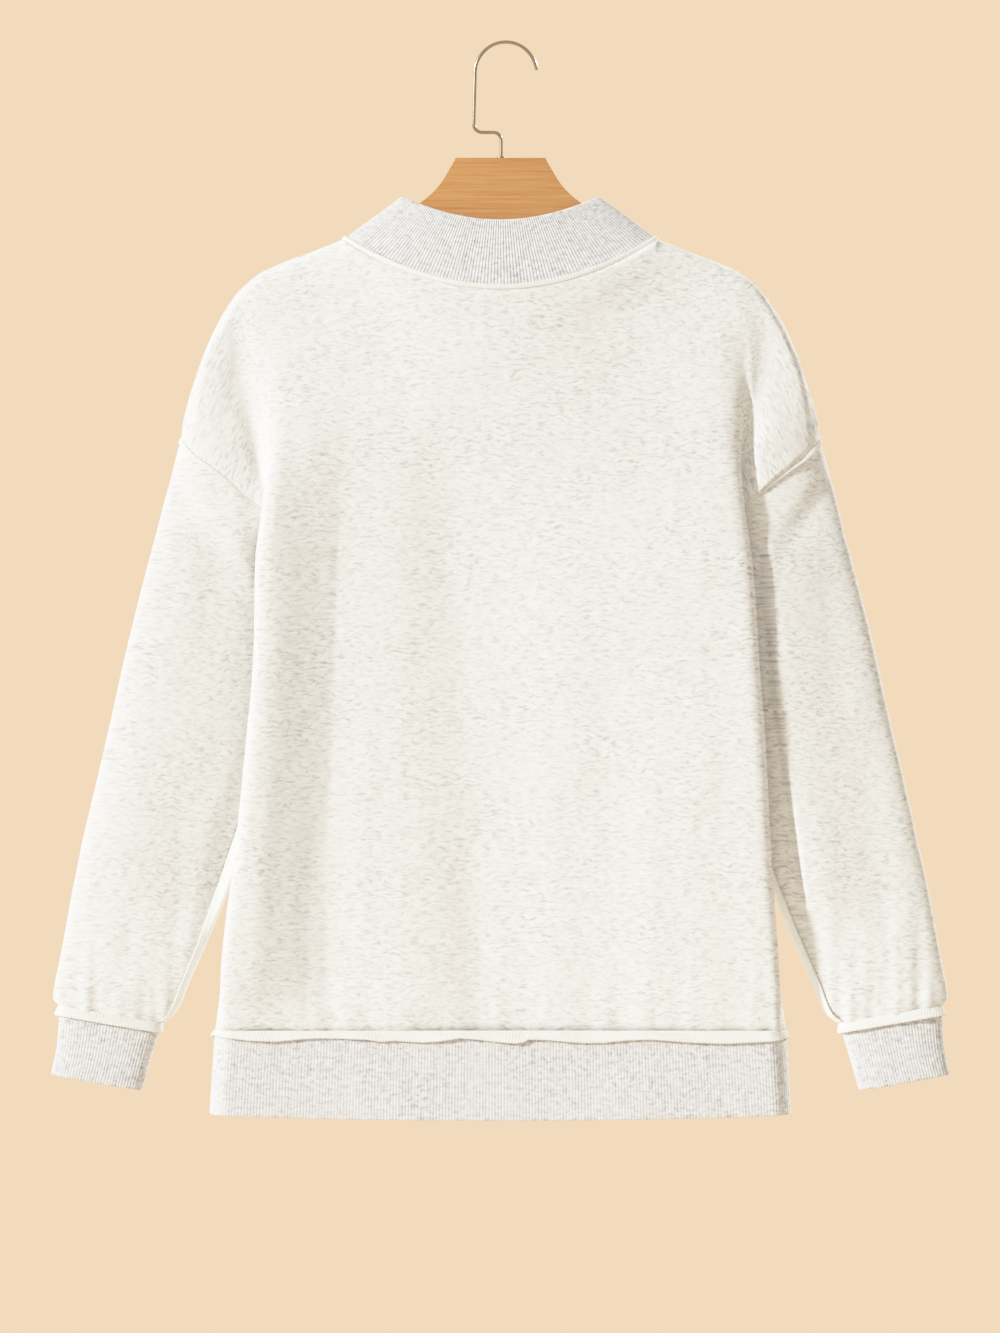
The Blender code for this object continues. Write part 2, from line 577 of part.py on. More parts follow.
def zip_rim(bm, outer, inner):
    """Close the rim between two rings with unlike numbers of points."""
    n_out, n_in = len(outer), len(inner)
    k = 0
    for i in range(n_out):
        nearest = round((i + 0.5) * n_in / n_out)
        while k < nearest:
            bm.faces.new((outer[i], inner[(k + 1) % n_in], inner[k % n_in]))
            k += 1
        bm.faces.new((outer[i], outer[(i + 1) % n_out], inner[k % n_in]))


def even_angles(ring_points, count):
    """Angles that cut a closed curve, given as a function of the angle, into equal lengths."""
    angles = np.linspace(0, 2 * np.pi, 721)
    length = chord([ring_points(a) for a in angles])
    return np.interp(np.linspace(0, length[-1], count + 1), length, angles)


def neck_point(angle, rise):
    """Collar surface: angle 0 at the right neck point, rise 0 at the neck seam, 1 at the top."""
    c, s = math.cos(angle), math.sin(angle)
    back = s < 0
    seam_centre = BACK_NECK_DROP if back else FRONT_NECK_DROP
    top_centre = COLLAR_TOP_BACK_DROP if back else COLLAR_TOP_FRONT_DROP
    dip = s * s if back else abs(s) ** FRONT_DIP_POWER
    seam_drop = NECK_POINT_DROP + (seam_centre - NECK_POINT_DROP) * dip
    top_drop = COLLAR_TOP_SIDE_DROP + (top_centre - COLLAR_TOP_SIDE_DROP) * dip
    half = NECK_HALF + (COLLAR_TOP_HALF - NECK_HALF) * rise
    depth = NECK_DEPTH + (COLLAR_TOP_DEPTH - NECK_DEPTH) * rise
    return np.array([half * c, seam_drop + (top_drop - seam_drop) * rise, depth * s])


def collar_surface(angle, rise, inset):
    """Collar point set in by a distance along the surface normal."""
    d = 1e-3
    across = neck_point(angle + d, rise) - neck_point(angle - d, rise)
    up = neck_point(angle, rise + d) - neck_point(angle, rise - d)
    normal = np.cross(up, across)
    normal /= np.linalg.norm(normal)
    if normal[0] * math.cos(angle) + normal[2] * math.sin(angle) < 0:
        normal = -normal
    return neck_point(angle, rise) - normal * inset


def build_collar(collection, parent):
    steps = 4000
    angles = even_angles(lambda a: neck_point(a, 0.5), steps)
    seam_rise = GAP / COLLAR_HEIGHT

    def ring_at(f, height, inset):
        angle = float(np.interp(f * steps, np.arange(steps + 1), angles))
        return collar_surface(angle, seam_rise + (1 - seam_rise) * (1 - height), inset)

    ribbed_band(collection, parent, "rib_collar", ring_at, COLLAR_RIBS, COLLAR_INNER_POINTS)
    places = np.linspace(0, 2 * np.pi, NECK_STRIP_POINTS, endpoint=False)
    strip = np.array([[collar_surface(a, rise, -NECK_LIE.lift) for a in places]
                      for rise in (NECK_LIE.start, NECK_LIE.end)])
    centre = [(x, BACK_NECK_DROP, 0.0) for x in range(-100, 101, 20)]
    out = outward_normals(strip, True, centre)
    add_allowance(collection, parent, "neck_seam_allowance", strip, True, out)


def stadium(half, depth, fraction):
    """Point of a flattened ring and its outward normal, fraction of the way round from +x."""
    straight = 2 * (half - depth)
    arc = math.pi * depth
    total = 2 * straight + 2 * arc
    s = (fraction * total + arc / 2) % total
    if s < arc:
        centre, angle = half - depth, -math.pi / 2 + s / depth
    elif s < arc + straight:
        return half - depth - (s - arc), depth, 0.0, 1.0
    elif s < 2 * arc + straight:
        centre, angle = depth - half, math.pi / 2 + (s - arc - straight) / depth
    else:
        return depth - half + (s - 2 * arc - straight), -depth, 0.0, -1.0
    across, through = math.cos(angle), math.sin(angle)
    return centre + depth * across, depth * through, across, through


def hem_fractions(in_arc, in_straight):
    """Places round the hem, close together in its two round ends."""
    arc = math.pi * HEM_HALF_DEPTH
    straight = 2 * (HEM_TOP_HALF - HEM_HALF_DEPTH)
    total = 2 * (arc + straight)
    places, start = [], -arc / 2
    for length, steps in ((arc, in_arc), (straight, in_straight)) * 2:
        places += [(start + length * i / steps) / total for i in range(steps)]
        start += length
    return places


def hem_point(fraction, fall, inset):
    """Hem band surface: fall 0 at the seam, 1 at the bottom edge."""
    half = HEM_TOP_HALF + (HEM_BOTTOM_HALF - HEM_TOP_HALF) * fall
    x, y, nx, ny = stadium(half, HEM_HALF_DEPTH, fraction)
    drop = HEM_SEAM_DROP + GAP / 2 + (HEM_BOTTOM_DROP - HEM_SEAM_DROP) * fall
    return np.array([x - nx * inset, drop, CENTRE_Y + y - ny * inset])


def build_hem(collection, parent):
    ribbed_band(collection, parent, "rib_hem_band", hem_point, HEM_RIBS, HEM_INNER_POINTS)
    places = hem_fractions(*HEM_STRIP_POINTS)
    wave = [HEM_WAVE * math.sin(2 * math.pi * HEM_WAVES * f + HEM_WAVE_PHASE) for f in places]
    strip = np.array([[hem_point(f, HEM_LIE.start, -HEM_LIE.lift) for f in places],
                      [hem_point(f, HEM_LIE.end + w, -HEM_LIE.lift) for f, w in zip(places, wave)]])
    centre = [(x, HEM_SEAM_DROP, CENTRE_Y) for x in range(-220, 221, 20)]
    out = outward_normals(strip, True, centre)
    add_allowance(collection, parent, "hem_seam_allowance", strip, True, out)


def build_cuffs(collection, parent):
    fine = np.linspace(0, 2 * np.pi, 721)
    length = chord(ring(CUFF_SECTIONS[0], fine))
    levels = np.array(CUFF_SECTIONS, float)
    for side, word in ((LEFT, "left"), (RIGHT, "right")):

        def ring_at(f, height, inset, side=side):
            angle = np.interp([f * length[-1]], length, fine)
            section = Sleeve(*smooth_through((0, 0.5, 1), levels, [height])[0])
            return ring(section, angle, inset)[0] * (side, 1, 1)

        ribbed_band(collection, parent, f"{word}_rib_cuff", ring_at, CUFF_RIBS, CUFF_INNER_POINTS)
        edges = ((CUFF_LIE.start, CUFF_LIE.lift), (CUFF_LIE.end, CUFF_LIE.lift + CUFF_FLARE))
        strip = np.array([[ring_at(k / CUFF_STRIP_POINTS, height, -lift) for k in range(CUFF_STRIP_POINTS)]
                          for height, lift in edges])
        add_allowance(collection, parent, f"{word}_cuff_seam_allowance", strip, True,
                      outward_normals(strip, True, strip.mean(axis=1)))


def between_columns(grid, places):
    """Columns of a grid at whole and part places, which may run past a closed grid's last column."""
    count = grid.shape[1]
    low = np.floor(places).astype(int)
    part = (np.asarray(places) - low)[None, :, None]
    return grid[:, low % count] * (1 - part) + grid[:, (low + 1) % count] * part


def trim(strip, lie):
    """Move a strip's two edges, held as strip[row][edge], to their shares of its width."""
    seam, far = strip[:, 0].copy(), strip[:, 1].copy()
    strip[:, 0] = seam + (far - seam) * lie.start
    strip[:, 1] = seam + (far - seam) * lie.end
    return strip


def build_sleeve_allowances(collection, parent, word, sleeve, out):
    """The armhole's allowance, open under the arm, and the strip down the sleeve's inner seam."""
    count = sleeve.shape[1]
    fold = UNDERARM_COLUMN
    places = [fold + 0.5, *range(fold + 1, count + fold), count + fold - 0.5]
    raised = between_columns(sleeve[:2] + out[:2] * ARMHOLE_LIE.lift, places)
    around = trim(raised.transpose(1, 0, 2).copy(), ARMHOLE_LIE).transpose(1, 0, 2)
    add_allowance(collection, parent, f"{word}_armhole_allowance", around, False,
                  between_columns(out[:2], places))
    rows = slice(3, -1)
    places = fold + np.array(UNDERARM_COLUMNS)
    under = between_columns((sleeve + out * UNDERARM_LIFT)[rows], places)
    add_allowance(collection, parent, f"{word}_underarm_allowance", under, False,
                  between_columns(out[rows], places))


def build_front_allowances(collection, parent, word, front, out):
    """The side and shoulder allowances, which lie on the front; its first column is the seam."""
    rows = [i for i, row in enumerate(front)
            if SIDE_SEAM[0].drop + SIDE_STRIP_ENDS[0] < row[0, 1] < HEM_SEAM_DROP - SIDE_STRIP_ENDS[1]]
    side = (front + out * SIDE_LIE.lift)[rows][:, :2]
    add_allowance(collection, parent, f"{word}_side_seam_allowance", trim(side, SIDE_LIE), False,
                  out[rows][:, :2])
    last = sum(FRONT_COLUMN_STEPS)
    places = np.array([*range(1, last + 1), last + SHOULDER_STRIP_END])
    top = between_columns((front + out * SHOULDER_LIE.lift)[:2], places)
    top = trim(top.transpose(1, 0, 2).copy(), SHOULDER_LIE).transpose(1, 0, 2)
    add_allowance(collection, parent, f"{word}_shoulder_seam_allowance", top, False,
                  between_columns(out[:2], places))


def build_allowances(collection, parent, front, front_out, sleeves):
    for word, (sleeve, out) in sleeves.items():
        build_sleeve_allowances(collection, parent, word, sleeve, out)
        order = slice(None) if word == "left" else slice(None, None, -1)
        build_front_allowances(collection, parent, word, front[:, order], front_out[:, order])


# --- hanger ---------------------------------------------------------------------------------
def shoulder_drop(x):
    knots = np.array(SHOULDER_SEAM, float)
    return float(np.interp(x, knots[:, 0], knots[:, 1]))


def hanger_outline():
    """Right half of the hanger's outline as x and drop, from the centre top to the centre."""
    corner = 2.0
    top = [(0.0, HANGER_TOP_DROP), (HANGER_TOP_HALF - corner, HANGER_TOP_DROP),
           (HANGER_TOP_HALF, HANGER_TOP_DROP + corner)]
    arm = []
    for x in HANGER_ARM_X:
        slope = (shoulder_drop(x + 2) - shoulder_drop(x - 2)) / 4
        fall = HANGER_TIP_FALL * smoothstep(x, *HANGER_TIP_CURVE)
        arm.append((x, shoulder_drop(x) + fall + (WALL + HANGER_SEAT) * math.sqrt(1 + slope * slope)))
    tip = [(HANGER_TIP_X + p.x, arm[-1][1] + p.drop) for p in HANGER_TIP]
    under = [(x, shoulder_drop(x) + HANGER_ARM_HEIGHT) for x in HANGER_UNDER_X]
    return top + [tuple(p) for p in HANGER_FLARE] + arm + tip + under + [tuple(p) for p in HANGER_UNDER]


def build_hanger(collection, parent):
    half = hanger_outline()
    outline = half + [(-x, drop) for x, drop in reversed(half[1:-1])]
    curve = bpy.data.curves.new("hanger_wood", "CURVE")
    curve.dimensions = "2D"
    curve.fill_mode = "BOTH"
    curve.extrude = HANGER_THICK / 2 * MM
    spline = curve.splines.new("POLY")
    spline.points.add(len(outline) - 1)
    for point, (x, drop) in zip(spline.points, outline):
        point.co = (x * MM, -drop * MM, 0.0, 1.0)
    spline.use_cyclic_u = True
    wood = place(collection, parent, "hanger_wood", curve, "wood")
    wood.rotation_euler = (math.pi / 2, 0.0, 0.0)
    weld = wood.modifiers.new("weld", "WELD")
    weld.merge_threshold = 0.00005
    edge = wood.modifiers.new("rounded edges", "BEVEL")
    edge.width = HANGER_ROUNDING * MM
    edge.segments = 2
    edge.limit_method = "ANGLE"
    edge.angle_limit = math.radians(50)


def hook_route():
    """Centre line of the wire, from its free tip over the arch and down into the wood."""
    arch, elbow, bend = HOOK_ARCH, HOOK_ELBOW, HOOK_STEM_BEND
    route = [(arch.x + arch.radius * math.cos(a), arch.drop - arch.radius * math.sin(a))
             for a in np.linspace(math.radians(5), math.pi, 15)]
    route.append(tuple(HOOK_LEG_END))
    route += [(elbow.x - elbow.radius * math.cos(a), elbow.drop + elbow.radius * math.sin(a))
              for a in np.radians((25, 50, 75, 90))]
    route.append((HOOK_CROSS_END_X, elbow.drop + elbow.radius))
    route += [(bend.x + bend.radius * math.sin(a), bend.drop - bend.radius * math.cos(a))
              for a in np.radians((15, 40, 65, 90))]
    route.append((bend.x + bend.radius, HANGER_TOP_DROP - HOOK_STEM_GAP))
    return route


def build_hook(collection, parent):
    curve = bpy.data.curves.new("hook_wire", "CURVE")
    curve.dimensions = "3D"
    curve.bevel_depth = WIRE_RADIUS * MM
    curve.bevel_resolution = 2
    curve.use_fill_caps = True
    spline = curve.splines.new("POLY")
    route = hook_route()
    spline.points.add(len(route) - 1)
    for point, (x, drop) in zip(spline.points, route):
        point.co = (x * MM, 0.0, -drop * MM, 1.0)
    place(collection, parent, "hook_wire", curve, "steel")


def main():
    for obj in list(bpy.data.objects):
        bpy.data.objects.remove(obj, do_unlink=True)
    collection = bpy.data.collections.new("tunic_sweatshirt")
    bpy.context.scene.collection.children.link(collection)
    parent = bpy.data.objects.new("garment_frame", None)
    collection.objects.link(parent)
    front, front_out, back_seam, front_seam = build_panels(collection, parent)
    sleeves = build_sleeves(collection, parent, back_seam, front_seam)
    build_collar(collection, parent)
    build_cuffs(collection, parent)
    build_hem(collection, parent)
    build_allowances(collection, parent, front, front_out, sleeves)
    build_hanger(collection, parent)
    build_hook(collection, parent)


main()
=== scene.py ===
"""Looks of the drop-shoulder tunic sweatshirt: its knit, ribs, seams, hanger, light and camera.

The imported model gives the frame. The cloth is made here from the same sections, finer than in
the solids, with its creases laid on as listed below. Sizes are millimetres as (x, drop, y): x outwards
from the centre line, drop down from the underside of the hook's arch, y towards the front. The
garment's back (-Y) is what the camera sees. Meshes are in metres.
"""
import math
from collections import namedtuple

import bpy
import numpy as np
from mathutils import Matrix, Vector, noise


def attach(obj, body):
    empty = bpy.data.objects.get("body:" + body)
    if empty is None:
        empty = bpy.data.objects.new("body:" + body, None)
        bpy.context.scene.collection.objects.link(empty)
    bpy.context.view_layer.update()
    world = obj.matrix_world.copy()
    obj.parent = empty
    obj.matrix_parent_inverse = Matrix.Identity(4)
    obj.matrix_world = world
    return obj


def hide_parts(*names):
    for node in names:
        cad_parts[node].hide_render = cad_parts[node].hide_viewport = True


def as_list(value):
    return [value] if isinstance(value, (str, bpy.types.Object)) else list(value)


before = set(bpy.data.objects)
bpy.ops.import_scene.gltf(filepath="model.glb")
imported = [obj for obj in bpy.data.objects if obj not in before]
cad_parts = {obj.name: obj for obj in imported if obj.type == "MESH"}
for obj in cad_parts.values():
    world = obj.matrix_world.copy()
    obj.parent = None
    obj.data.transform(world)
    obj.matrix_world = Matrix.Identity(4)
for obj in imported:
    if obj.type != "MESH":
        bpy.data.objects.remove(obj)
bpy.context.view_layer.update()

MM = 0.001
Outline = namedtuple("Outline", "x drop")
LEFT, RIGHT = -1, 1
BACKWARD, FORWARD = np.array([0.0, 0.0, -1.0]), np.array([0.0, 0.0, 1.0])


def table(kind, rows):
    """Rows of numbers as named tuples."""
    return [kind(*row) for row in rows]


# --- the garment's sizes, as in the solids ----------------------------------------------------
WALL = 2.0
GAP = 0.3
SEAM_ROOM = 0.1                # the fine cloth is drawn close, so that no seam gapes
SHOULDER_ROOM = 0.12
BACK_NECK_ROOM = 0.2
FRONT_NECK_ROOM = 0.3
ALLOWANCE = 5.5

NECK_HALF = 132.7
NECK_POINT_DROP = 164.7
NECK_DEPTH = 24.0
BACK_DIP_POWER = 2.0
FRONT_DIP_POWER = 2.6
BACK_NECK_DROP = 207.6
FRONT_NECK_DROP = 240.0
HEM_SEAM_DROP = 829.2
CENTRE_Y = -2.0
NECK_TO_FACE = 0.7348          # the neck's columns begin at this share of the face station's x
NECK_STEPS = 8
NECK_SPREAD = 1.5              # above 1 the neck's columns lie closer together near the face
FACE_STEPS = 8                 # columns between a panel's face station and the neck's columns
NECK_ROUNDING = (0.5, 2.0)     # power of the neck's round: an ellipse at the seam, soft lower down
NECK_ROOM_POWER = 4            # how late the neck's room gives way to the shoulder's
SHOULDER_ROOM_START = NECK_HALF - 4        # the x from which a shoulder has its room
NECK_EASE_REACH = 60           # the ease below a neck point averages this far each way
NECK_EASE_SPREAD = 2.5         # in spreads of its bell curve
NECK_EASE_GAP = (0.3, 24)      # the distances below the neck seam over which it comes in
NECK_EASE_X = (60, 100), (150, 176)        # the x over which it comes in, and fades out
NECK_EASE_DROP = (300, 420)    # the drops over which it fades out
HIDDEN_ARMHOLE = (366.0, 392.0)
HIDDEN_ARMHOLE_SHIFT = 3.4

Knot = namedtuple("Knot", "x drop y")
SHOULDER_SEAM = table(Knot, [
    (132.7, 164.7, 0), (162.1, 176.3, 0), (185.6, 185.6, 0), (200.8, 192.4, 0), (211.7, 200.8, 0),
    (220.9, 210.1, 0), (228.9, 221.8, 0), (235.2, 234.4, 0), (243.2, 251.2, 0), (250.8, 268.0, 0.5),
    (257.9, 287.4, 1), (262.9, 302.5, 1.5), (267.1, 319.3, 2.5), (268.8, 332.7, 3),
])
ARMHOLE_BACK = table(Knot, [
    (268.8, 332.7, 3), (264.5, 338.6, -2.5), (255.4, 347.8, -6), (241.1, 357.9, -8), (226.0, 369.7, -8),
    (211.7, 381.4, -7), (198.8, 391.5, -6), (186.5, 416.7, -4.5), (173.0, 458.7, -4),
    (158.3, 517.5, -3),
])
ARMHOLE_FRONT = table(Knot, [
    (268.8, 332.7, 3), (262.6, 342.5, 9), (245.3, 357.9, 15), (225.1, 373.0, 18.5), (205.8, 389.8, 21),
    (188.2, 415.0, 23), (175.6, 450.3, 22), (165.5, 485.6, 16), (158.3, 517.5, -3),
])
SIDE_SEAM = table(Knot, [
    (158.3, 517.5, -3), (178.9, 599.0, -3.5), (200.8, 683.8, -3), (220.1, 760.3, -2.5),
    (239.4, 829.2, -1),
])
BACK_ROW_STEPS = (1, 1, 2, 2, 2, 1, 1, 1, 1, 2, 2, 1, 1)
BACK_COLUMN_STEPS = (2, 2, 2, 3)
FRONT_ROW_STEPS = (1, 1, 1, 2, 1, 1, 1, 1, 2, 2, 1, 1)
FRONT_COLUMN_STEPS = (2, 2, 4)
SLEEVE_STEPS = (1, 1, 1, 1, 2, 1, 1, 1)
Back = namedtuple("Back", "centre neck seam cap_x cap_drop cap_y valley_x valley_drop valley_y "
                          "crest_x crest_drop crest_y face_x face_drop face_y centre_y")
BACK_SECTIONS = table(Back, [
    (207.6, 164.7, 332.7, 253.7, 276, 1, 232.7, 229, 0, 211.7, 201, 0, 180.6, 184, 0, -24),
    (212.6, 165.2, 337.8, 253.3, 277, -4.5, 232.3, 230, -5.5, 211.4, 202, -5.5, 180.4, 185, -5.5, -24),
    (218.5, 170.5, 343.6, 248.8, 282, -8.5, 228.8, 235, -9.5, 208.3, 207, -9.5, 178.8, 190, -9.5, -23.5),
    (243.7, 215.1, 357.1, 232.7, 320, -9.5, 220.1, 279, -7.5, 199.1, 245, -13, 173.9, 230, -13.5, -22.5),
    (280.6, 265.5, 371.8, 217.1, 346, -8.5, 210.0, 317, -5.5, 194.9, 287, -14, 173.9, 276, -17, -22),
    (326.0, 319.3, 385.6, 205.0, 372, -6, 202.0, 355, -4, 194.5, 334, -14, 176.4, 325, -19, -21.5),
    (374.7, 373.0, 402.4, 194.9, 398, -5.5, 196.6, 391, -5, 198.2, 381, -13.5, 182.3, 375, -20, -21),
    (433.5, 433.5, 435.2, 187.3, 436, -5.5, 196.6, 436, -6.5, 205.4, 435, -13.5, 191.5, 434, -21, -21),
    (483.9, 483.9, 471.3, 183.1, 477, -5.5, 199.9, 482, -6.5, 209.2, 484, -13.5, 195.7, 484, -21, -21),
    (531.0, 531.0, 517.5, 179.8, 523, -5, 203.3, 529, -6.5, 212.1, 531, -13.5, 199.1, 531, -21, -21),
    (601.5, 601.5, 599.0, 194.9, 601, -5, 210.0, 601, -6.5, 218.4, 601, -13.5, 205.8, 601, -21, -21),
    (685.5, 685.5, 683.8, 210.8, 685, -4.5, 219.2, 685, -7, 225.5, 685, -13, 214.2, 685, -20.5, -20.5),
    (761.1, 761.1, 760.3, 226.0, 761, -4, 230.2, 761, -7.5, 232.7, 761, -12.5, 222.6, 761, -20, -20),
    (829.2, 829.2, 829.2, 239.6, 829.2, -4, 239.2, 829.2, -8, 236.0, 829.2, -13, 227.6, 829.2, -18, -19),
])
Front = namedtuple("Front", "centre neck seam cap_x cap_drop cap_y flank_x flank_drop flank_y "
                            "face_x face_drop face_y centre_y")
FRONT_SECTIONS = table(Front, [
    (240.0, 164.7, 332.7, 253.7, 276, 1, 222.6, 213, 0, 180.6, 184, 0, 24),
    (245.0, 165.2, 337.8, 253.3, 277, 6, 222.2, 213.6, 5.5, 180.4, 184.6, 5.5, 24.5),
    (251.0, 170.5, 343.6, 248.8, 282, 10, 218.8, 219, 9.5, 178.8, 190, 9.5, 24.5),
    (277.0, 215.1, 357.9, 232.7, 320, 15, 205.8, 266, 14, 173.9, 230, 13.5, 24),
    (311.0, 267.2, 374.7, 216.7, 350, 18.5, 195.7, 314, 17.5, 172.2, 282, 17, 23.5),
    (356.0, 332.7, 395.7, 199.9, 381, 21.5, 184.8, 358, 20.5, 163.8, 339, 20, 23),
    (404.1, 395.7, 429.3, 179.8, 419, 23, 172.2, 408, 22, 151.2, 400, 21.5, 23),
    (458.7, 457.0, 471.3, 164.6, 467, 20, 156.2, 464, 22, 138.6, 459, 22, 23),
    (521.7, 521.7, 517.5, 153.7, 518, 4, 142.8, 520, 15, 126.0, 522, 21.5, 23),
    (601.5, 601.5, 599.0, 173.0, 600, 4, 159.6, 601, 14, 138.6, 601, 20.5, 22),
    (685.5, 685.5, 683.8, 196.6, 685, 3, 182.3, 685, 11.5, 159.6, 685, 18, 21),
    (761.1, 761.1, 760.3, 218.4, 761, 3, 205.8, 761, 11, 184.8, 761, 16.5, 19),
    (829.2, 829.2, 829.2, 239.0, 829.2, 3, 236.0, 829.2, 8.5, 226.8, 829.2, 13.5, 15),
])
Sleeve = namedtuple("Sleeve", "outer_x outer_drop inner_x inner_drop centre_y half_depth")
SLEEVE_SECTIONS = table(Sleeve, [
    (279.7, 370.5, 167.2, 542.7, 12, 13.0), (291.5, 416.7, 179.8, 577.2, 12, 13.0),
    (307.4, 477.2, 194.9, 618.3, 12, 13.0), (325.9, 557.8, 211.7, 666.2, 12, 13.0),
    (344.4, 637.6, 228.5, 711.6, 11, 12.5), (359.5, 706.5, 247.8, 756.9, 10, 12.0),
    (369.6, 761.1, 262.9, 790.5, 9, 11.5), (376.6, 801.5, 274.0, 815.0, 8, 11.0),
    (371.3, 808.6, 285.3, 823.6, 8, 9.6),
])
CUFF_SECTIONS = table(Sleeve, [
    (371.3, 808.9, 285.3, 823.9, 8, 9.6), (372.8, 838.0, 293.6, 851.0, 8, 9.8),
    (378.3, 866.1, 301.6, 879.6, 8, 10.0),
])
CUFF_LENGTH = 57.0
Fold = namedtuple("Fold", "x lean width_left width_right depth top bottom")
FOLD_LEVEL = 450.0
FOLD_FADE_IN, FOLD_FADE_OUT = 130.0, 110.0
BACK_FOLDS = table(Fold, [
    (-30, 0.06, 42, 95, 7.5, 300, 900), (94, 0.0, 26, 40, 2.0, 420, 900),
    (176, 0.03, 22, 20, 0.8, 420, 860),
])
FRONT_FOLDS = table(Fold, [
    (-96, -0.06, 18, 30, -4.5, 380, 930), (-34, 0.02, 26, 22, -3.5, 330, 900),
    (46, -0.02, 24, 30, -4.0, 360, 930), (104, 0.05, 26, 16, -4.5, 400, 930),
])
# The long slope behind the left edge: it falls away from the edge to a sharp crease, and the
# cloth beyond rises again slowly
SLOPE_X, SLOPE_LEAN = -137.0, -0.035
SLOPE_WIDTH = 54.0
SLOPE_HEIGHT, SLOPE_DEPTH = 7.5, 5.5       # it stands out at the edge and lies in at the crease
SLOPE_BOW = 0.12
SLOPE_RISE = 80.0
SLOPE_EDGE = (-1.0, 1.5)       # the columns about the crest over which it comes in
SLOPE_START, SLOPE_END = (290.0, 440.0), (775.0, 829.0)
COLLAR_TOP_HALF = 82.6
COLLAR_TOP_DEPTH = 17.0
COLLAR_TOP_SIDE_DROP = 128.0
COLLAR_TOP_BACK_DROP = 149.0
COLLAR_TOP_FRONT_DROP = 183.0
COLLAR_HEIGHT = 58.0
HEM_BOTTOM_DROP = 901.6
HEM_TOP_HALF = 239.8
HEM_BOTTOM_HALF = 244.2
HEM_HALF_DEPTH = 17.0
HEM_SEAM_ROOM = 0.1
TUBE_FLATNESS = 0.72
UNDERARM_COLUMN = 12

# --- finer cloth ------------------------------------------------------------------------------
ROW_FINE = 8                   # rows and columns laid between two of the solids' rows and columns
COLUMN_FINE = 4
CAP_ROUND = 1.0                # how far a sleeve's cap stands out between its seam and its tube
CAP_ROWS = (2, 10, 10)         # sleeve rows along the seam strip, to the cap's middle, to the tube
TUBE_ROWS = 11                 # sleeve rows in each step of the tube

# Creases laid on the cloth: a soft trough (depth below 0) or ridge along a line
Crease = namedtuple("Crease", "x0 drop0 x1 drop1 width depth")
BACK_CREASES = table(Crease, [
    (-196, 262, -150, 420, 16, -1.6), (-186, 285, -120, 520, 24, 1.2), (-112, 560, -122, 812, 10, 1.3),
    (-152, 610, -160, 818, 11, -1.5), (-200, 560, -214, 800, 16, 1.4), (-186, 640, -197, 815, 9, -1.2),
    (-78, 470, -66, 800, 20, -0.9), (-30, 640, -22, 815, 12, -1.2), (-4, 690, 0, 818, 9, 0.9),
    (22, 380, 40, 700, 26, 0.9), (62, 590, 74, 806, 13, -1.1), (110, 520, 120, 800, 18, 0.8),
    (140, 640, 148, 815, 12, -1.0), (168, 330, 178, 700, 13, 0.9), (196, 700, 206, 818, 10, -0.9),
    (60, 250, -40, 300, 26, -0.7), (-120, 240, -60, 300, 26, -0.8), (120, 240, 150, 330, 20, -0.8),
    (-214, 258, -236, 330, 9, -1.4), (228, 250, 240, 320, 9, -1.0), (205, 262, 226, 335, 7, 0.9),
    (-48, 330, -58, 470, 22, -0.9),
])
FRONT_CREASES = table(Crease, [
    (-120, 262, -80, 430, 18, -1.3), (118, 262, 76, 450, 18, -1.2), (-60, 560, -70, 815, 12, -1.5),
    (4, 330, 10, 640, 26, 1.0), (72, 540, 66, 812, 13, -1.4), (130, 560, 150, 815, 12, -1.5),
    (-136, 600, -160, 815, 12, -1.5), (20, 620, 16, 818, 10, -1.2), (176, 700, 190, 818, 10, -1.0),
    (-184, 700, -196, 818, 10, 1.0), (205, 230, 180, 330, 10, -1.6), (-206, 226, -184, 330, 10, -1.6),
])
LEFT_SLEEVE_BACK = table(Crease, [
    (-236, 400, -262, 560, 15, -1.7), (-262, 600, -282, 790, 12, -1.8), (-300, 520, -326, 720, 20, 1.2),
    (-222, 470, -240, 640, 14, -1.3), (-310, 720, -322, 806, 9, -1.4), (-346, 730, -350, 803, 8, -1.2),
    (-250, 700, -276, 806, 8, 1.2), (-228, 590, -252, 700, 9, 1.0),
])
RIGHT_SLEEVE_BACK = table(Crease, [
    (262, 400, 300, 600, 14, -1.6), (300, 560, 330, 760, 15, -1.9), (226, 400, 250, 560, 12, 1.2),
    (262, 620, 286, 790, 11, 1.4), (318, 700, 330, 806, 8, -1.3), (348, 720, 356, 803, 8, -1.2),
    (246, 660, 276, 800, 9, -1.2), (286, 730, 300, 808, 7, -1.0),
])
LEFT_SLEEVE_FRONT = table(Crease, [
    (-230, 410, -268, 640, 15, -1.8), (-280, 600, -300, 800, 12, -1.7), (-318, 560, -340, 790, 14, 1.3),
    (-216, 520, -250, 720, 11, 1.2),
])
RIGHT_SLEEVE_FRONT = table(Crease, [
    (240, 420, 276, 620, 16, -1.7), (270, 640, 296, 802, 11, -1.8), (320, 600, 338, 790, 14, 1.2),
    (222, 540, 250, 700, 12, 1.1),
])
CREASING = 0.5                 # the share of the tables' depths that is laid on the cloth
CREASE_BEND, CREASE_WAVE = 0.35, 4.0       # a crease wanders by this share of its width
CREASE_START, CREASE_END = (-0.1, 0.35), (0.7, 1.1)    # the shares of its length where it fades
